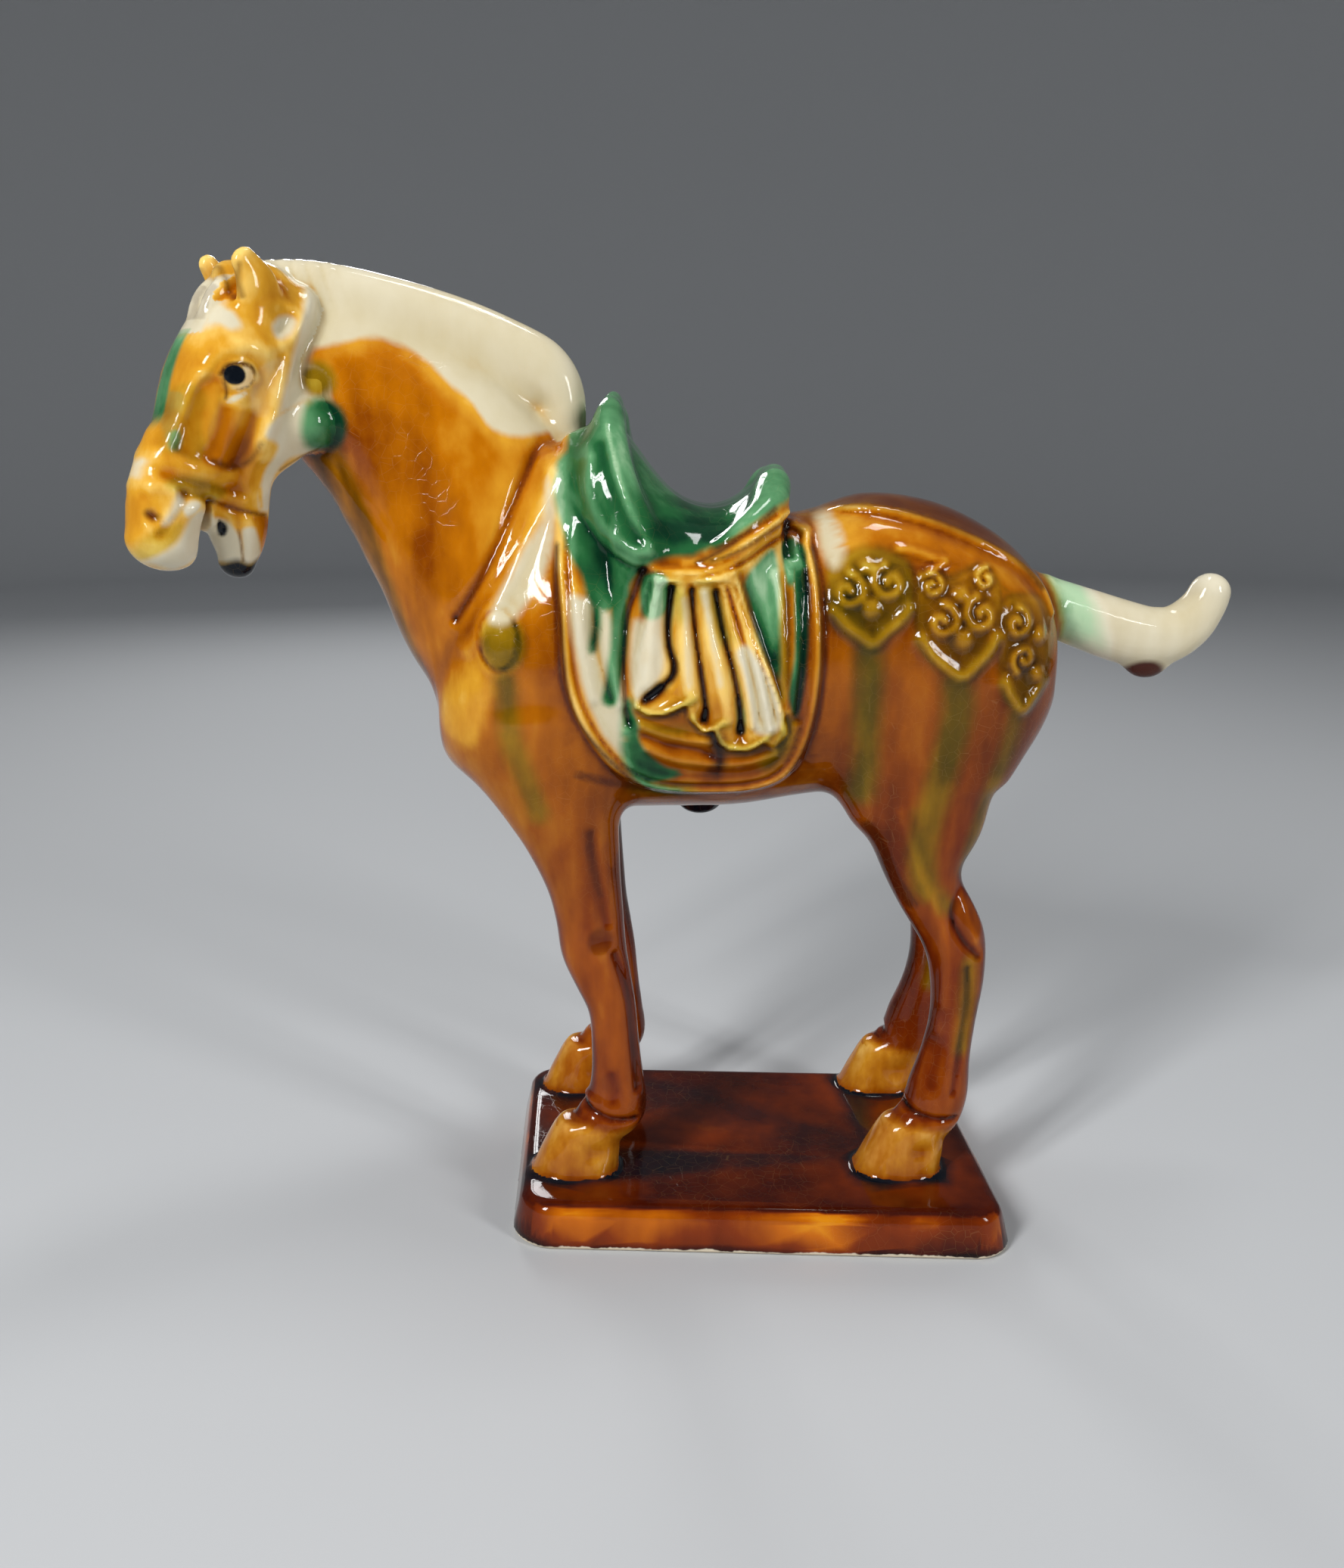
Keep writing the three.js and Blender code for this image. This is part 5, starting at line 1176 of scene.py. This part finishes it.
# the legs are darker along their front and back edges, which turn along x: partly thicker glaze, partly painted
# shade for the dark reflection on those grazing edges
lay("thick", (np.abs(normals[:, 0]) - 0.78) * 6, 1.0, 0.5, (bz > 11) & (bz < 74))
# hollows darken the glaze and ridges pale it: partly the glaze pooling and running thin, partly painted shade in
# the hollows and a painted highlight on the ridges
fine = hollow(1.2)
laid["fine_hollow"] = np.where(fine < 0, 0.5 * fine, fine) * np.where(
    on_head, 0.6, np.where(outline(BLANKET, bx, bz) > 0, 0.7, 1.0),
)
laid["broad_hollow"] = hollow(4.0)
laid["on_slab"] = over["slab"]
# the slab's top is darkest near its rim, with amber clouds; its long side is banded
x, y, z = skin_points.T
rim = np.minimum(52 - np.abs(x + SLAB_SKEW[0] * y), 33 - np.abs(y + SLAB_SKEW[1] * x))
clouds = sum(most * np.exp(-((x - cx) / rx) ** 2 - ((y - cy) / ry) ** 2) for cx, cy, rx, ry, most in (
    (6, 2, 12, 9, 0.22), (-2, -23, 16, 7, 0.34), (-20, -16, 8, 8, 0.3), (20, 6, 9, 8, 0.26), (-30, 6, 8, 12, 0.2),
    (40, -6, 6, 12, 0.2),
))
top = 0.6 + 0.22 * np.exp(-np.maximum(rim, 0) / 6.0) - clouds
turn = np.where(np.abs(y) * 52 > np.abs(x) * 33, x, y * 1.7 - 20)
side = np.interp(turn, [-52, -48, -40, -32, -22, -10, 2, 10, 13, 20, 24, 29, 36, 44, 50, 54], [
    0.7, 0.6, 0.24, 0.5, 0.3, 0.56, 0.36, 0.34, 0.08, 0.1, 0.5, 0.66, 0.4, 0.6, 0.5, 0.3,
])
side = side + 0.4 * step(z, 3.6, 1.0) + 0.12 * step(z, 8.2, 9.6)
laid["slab_depth"] = np.where(z > SLAB_TOP - 0.7, top, side)
for name, values in laid.items():
    skin.attributes.new(name, "FLOAT", "POINT").data.foreach_set("value", np.clip(values, -6, 6).astype(np.float32))


# The glaze. A thick clear lead glaze over pale clay: glassy, deepest in colour where it pools, pale on ridges,
# with runs down the sides and a fine crackle; the hollows' darkening is partly painted shade and the ridges'
# paleness partly a painted highlight. Bare clay shows only along the slab's foot.
class Wire:
    """One socket of a material. Sums and products of sockets add their Math nodes."""

    def __init__(self, tree, socket=None):
        self.tree, self.socket = tree, socket

    def node(self, kind, settings=None, sockets=None, out=0):
        """Adds a node of any kind: its settings first, then the values or links of its sockets."""
        made = self.tree.nodes.new(kind)
        for name, value in (settings or {}).items():
            if name == "stops":
                while len(made.color_ramp.elements) < len(value):
                    made.color_ramp.elements.new(0.5)
                for element, (place, colour) in zip(made.color_ramp.elements, value):
                    element.position, element.color = place, colour
            else:
                setattr(made, name, value)
        for name, value in (sockets or {}).items():
            if isinstance(value, Wire):
                self.tree.links.new(value.socket, made.inputs[name])
            else:
                made.inputs[name].default_value = value
        return Wire(self.tree, made.outputs[out] if made.outputs else None)

    def sum_of(self, operation, *values):
        return self.node("ShaderNodeMath", {"operation": operation}, dict(enumerate(values)))

    def __add__(self, other):
        return self.sum_of("ADD", self, other)

    def __sub__(self, other):
        return self.sum_of("SUBTRACT", self, other)

    def __mul__(self, other):
        return self.sum_of("MULTIPLY", self, other)

    def __rsub__(self, other):
        return self.sum_of("SUBTRACT", other, self)

    __radd__ = __add__
    __rmul__ = __mul__

    def between(self, low, high):
        """0 below low, 1 above high, eased in between."""
        return self.node(
            "ShaderNodeMapRange", {"interpolation_type": "SMOOTHSTEP"},
            {"Value": self, "From Min": low, "From Max": high},
        )

    def ramp(self, stops):
        return self.node("ShaderNodeValToRGB", {"stops": stops}, {"Fac": self})

    def blend(self, first, second):
        """The first colour where this socket is 0, the second where it is 1."""
        return self.node("ShaderNodeMix", {"data_type": "RGBA"}, {0: self, 6: first, 7: second}, out=2)

    def attribute(self, name):
        return self.node("ShaderNodeAttribute", {"attribute_name": name}, out=2)


def fired(red, green, blue):
    """A fired colour, from screen values of 0 to 255 to the linear light that shaders use."""
    share = np.array([red, green, blue]) / 255
    return (*np.where(share < 0.04, share / 12.92, ((share + 0.055) / 1.055) ** 2.4), 1)


glaze = bpy.data.materials.new("sancai_glaze")
glaze.use_nodes = True
glaze.node_tree.nodes.clear()
wire = Wire(glaze.node_tree)
place = wire.node("ShaderNodeTexCoord", out=3)


def cloud(scale, detail=2, stretch=(1, 1, 1), offset=(0, 0, 0)):
    """Soft noise from 0 to 1; the scale is in cycles a metre, and a stretch below 1 makes runs."""
    put_at = wire.node("ShaderNodeMapping", {}, {"Vector": place, "Scale": stretch, "Location": offset})
    return wire.node(
        "ShaderNodeTexNoise", {}, {"Vector": put_at, "Scale": scale, "Detail": detail, "Roughness": 0.5},
    )


# runs and streaks down the sides, slow drifts of depth, mottling and specks
runs = cloud(120, 2, (1, 1, 0.3))
drift = cloud(40, 3, (1, 1, 0.6), (3, 1, 2))
speck = cloud(520, 2, (1, 1, 0.6), (1, 5, 2))
streaks = cloud(230, 2, (1, 1, 0.1), (2, 2, 0))
mottle = cloud(270, 3, (1, 1, 0.5), (4, 0, 1))
height = wire.node("ShaderNodeSeparateXYZ", sockets={0: place}, out=2) * 1000
rearward = wire.node("ShaderNodeSeparateXYZ", sockets={0: place}, out=0) * 1000
fringe = (runs - 0.5) * 1.6 + (drift - 0.5) * 1.6 + (speck - 0.5) * 0.5


def area(name, low=-1.0, high=1.0, ragged=1.0):
    """0 outside a glaze's area, 1 inside, with the ragged edge of a run."""
    return (wire.attribute(name) + fringe * ragged).between(low, high)


# how thin or thick the glaze lies, and how deep its colour is: the amber is browner lower down and to the rear,
# partly its own colour and partly painted shade on the lower body and rump
pale = area("thin") + (wire.attribute("cream") + fringe).between(-5.0, -0.4) * 0.5
# the thick glaze's area includes the painted shade along the legs' edges
thick_and_edge_shade = area("thick")
lower = (height - rearward * 0.3).between(160, 66)
streaked = (streaks - 0.5) * (0.06 + lower * 0.36)
base = 0.48 + (runs - 0.5) * 0.3 + (drift - 0.5) * 0.65 + (mottle - 0.5) * 0.24 + streaked + lower * 0.04
# darker in hollows, paler on ridges: glaze pooling, together with painted shade and a painted highlight
pooled_and_shaded = wire.attribute("fine_hollow") * 0.9 + wire.attribute("broad_hollow") * 0.12
depth = base + pooled_and_shaded - pale * 0.32 + thick_and_edge_shade * 0.25
honey = depth.ramp([
    (0, fired(236, 200, 110)), (0.22, fired(208, 150, 40)), (0.45, fired(174, 100, 2)), (0.7, fired(122, 56, 0)),
    (1, fired(36, 10, 2)),
])
ember = depth.ramp([
    (0, fired(196, 122, 36)), (0.25, fired(146, 70, 6)), (0.5, fired(104, 36, 4)), (0.75, fired(66, 20, 5)),
    (1, fired(26, 7, 5)),
])
leaf = depth.ramp([
    (0, fired(168, 198, 160)), (0.2, fired(92, 146, 100)), (0.45, fired(34, 92, 50)), (0.7, fired(8, 52, 30)),
    (1, fired(2, 20, 16)),
])
moss = depth.ramp([
    (0, fired(192, 168, 60)), (0.3, fired(140, 106, 10)), (0.55, fired(84, 66, 4)), (0.8, fired(38, 36, 6)),
    (1, fired(14, 16, 8)),
])
bone = depth.ramp([
    (0, fired(212, 204, 180)), (0.45, fired(194, 181, 146)), (0.72, fired(184, 150, 90)), (1, fired(140, 88, 26)),
])
coat = (lower * (1 - pale * 0.85)).blend(honey, ember)
coat = area("olive", ragged=0.5).blend(coat, moss)
coat = area("cream").blend(coat, bone)
coat = area("green", ragged=0.7).blend(coat, leaf)
coat = area("brown", ragged=0.3).blend(coat, fired(66, 24, 10))
glow = wire.attribute("slab_depth") + (runs - 0.5) * 0.25 + (drift - 0.5) * 0.5 + (speck - 0.5) * 0.06
tread = glow.ramp([
    (0, fired(226, 152, 24)), (0.25, fired(184, 96, 6)), (0.5, fired(118, 44, 4)), (0.75, fired(64, 16, 4)),
    (1, fired(22, 5, 4)),
])
coat = wire.attribute("on_slab").between(-0.2, 0.8).blend(coat, tread)
coat = area("black", ragged=0.4).blend(coat, fired(10, 16, 24))
bare_clay = 1 - (height + (speck - 0.5) * 1.2 + (runs - 0.5) * 1.6).between(0.9, 1.3)
coat = bare_clay.blend(coat, fired(222, 208, 184))
cracks = wire.node("ShaderNodeTexVoronoi", {"feature": "DISTANCE_TO_EDGE"}, {"Vector": place, "Scale": 420.0})
hairline = (1 - cracks.between(0.0, 0.022)) * drift.between(0.42, 0.62)
coat = (hairline * 0.05).blend(coat, fired(240, 200, 130))
skin_bump = wire.node(
    "ShaderNodeBump", {},
    {"Strength": 0.3, "Distance": 0.0004, "Height": cloud(90, 2) * 0.6 + speck * 0.12 - hairline * 0.05},
)
shader = wire.node("ShaderNodeBsdfPrincipled", {}, {
    "Base Color": coat, "Roughness": 0.07 + bare_clay * 0.75, "Normal": skin_bump, "IOR": 1.5,
    "Specular IOR Level": 0.25,
})
wire.node("ShaderNodeOutputMaterial", {}, {"Surface": shader})
skin.materials.append(glaze)


# The studio. A plain pale floor that sweeps up all round. Soft windows of light, each of two panes, stand left and
# right in front and one behind, with a single one overhead.
def sweep(count=24, sides=96):
    """A flat floor, a quarter turn of 0.6 m radius, then an upright wall, turned once round the middle."""
    turn = np.linspace(0, math.pi / 2, count)
    out = np.concatenate([[0.02], 1.5 + 0.6 * np.sin(turn), [2.1]])
    rise = np.concatenate([[0], 0.6 - 0.6 * np.cos(turn), [2.6]])
    angle = np.linspace(0, 2 * math.pi, sides, endpoint=False)[:, None]
    points = np.stack(np.broadcast_arrays(np.cos(angle) * out, np.sin(angle) * out, rise), -1).reshape(-1, 3)
    ring = np.arange(sides)[:, None] * len(out)
    i = np.arange(len(out) - 1)
    beside = (ring + len(out)) % (sides * len(out))
    faces = np.stack([ring + i, ring + i + 1, beside + i + 1, beside + i], -1).reshape(-1, 4).tolist()
    return points, faces + [(np.arange(sides) * len(out)).tolist()]


sheet_points, sheet_faces = sweep()
sheet_mesh = bpy.data.meshes.new("studio_sheet")
sheet_mesh.from_pydata(sheet_points.tolist(), [], sheet_faces)
sheet_mesh.shade_smooth()
paper = bpy.data.materials.new("pale_sheet")
paper.use_nodes = True
paper.node_tree.nodes["Principled BSDF"].inputs["Base Color"].default_value = fired(186, 188, 190)
paper.node_tree.nodes["Principled BSDF"].inputs["Roughness"].default_value = 0.8
sheet_mesh.materials.append(paper)
floor = bpy.data.objects.new("studio_sheet", sheet_mesh)
bpy.context.scene.collection.objects.link(floor)

for name, spot, size, panes, power in (
    ("left_window", (-0.50, -0.62, 0.60), (0.07, 0.34), 2, 3.9),
    ("right_window", (0.60, -0.50, 0.42), (0.05, 0.34), 2, 1.6),
    ("rear_window", (-0.25, 0.85, 0.55), (0.07, 0.34), 2, 0.9),
    ("overhead", (0.1, 0.15, 0.95), (0.14, 0.3), 1, 2.0),
):
    for pane in range(panes):
        lamp = bpy.data.lights.new(name, "AREA")
        lamp.shape = "RECTANGLE"
        lamp.size, lamp.size_y = size
        lamp.energy = power
        holder = bpy.data.objects.new(f"{name}_{pane}", lamp)
        turned = (Vector((0, 0, 0.1)) - Vector(spot)).to_track_quat("-Z", "Y")
        holder.location = Vector(spot) + turned @ Vector(((pane - (panes - 1) / 2) * size[0] * 1.35, 0, 0))
        holder.rotation_euler = turned.to_euler()
        bpy.context.scene.collection.objects.link(holder)

room = bpy.data.worlds.new("room")
room.use_nodes = True
room.node_tree.nodes["Background"].inputs["Color"].default_value = (0.8, 0.84, 0.9, 1)
room.node_tree.nodes["Background"].inputs["Strength"].default_value = 0.2
bpy.context.scene.world = room
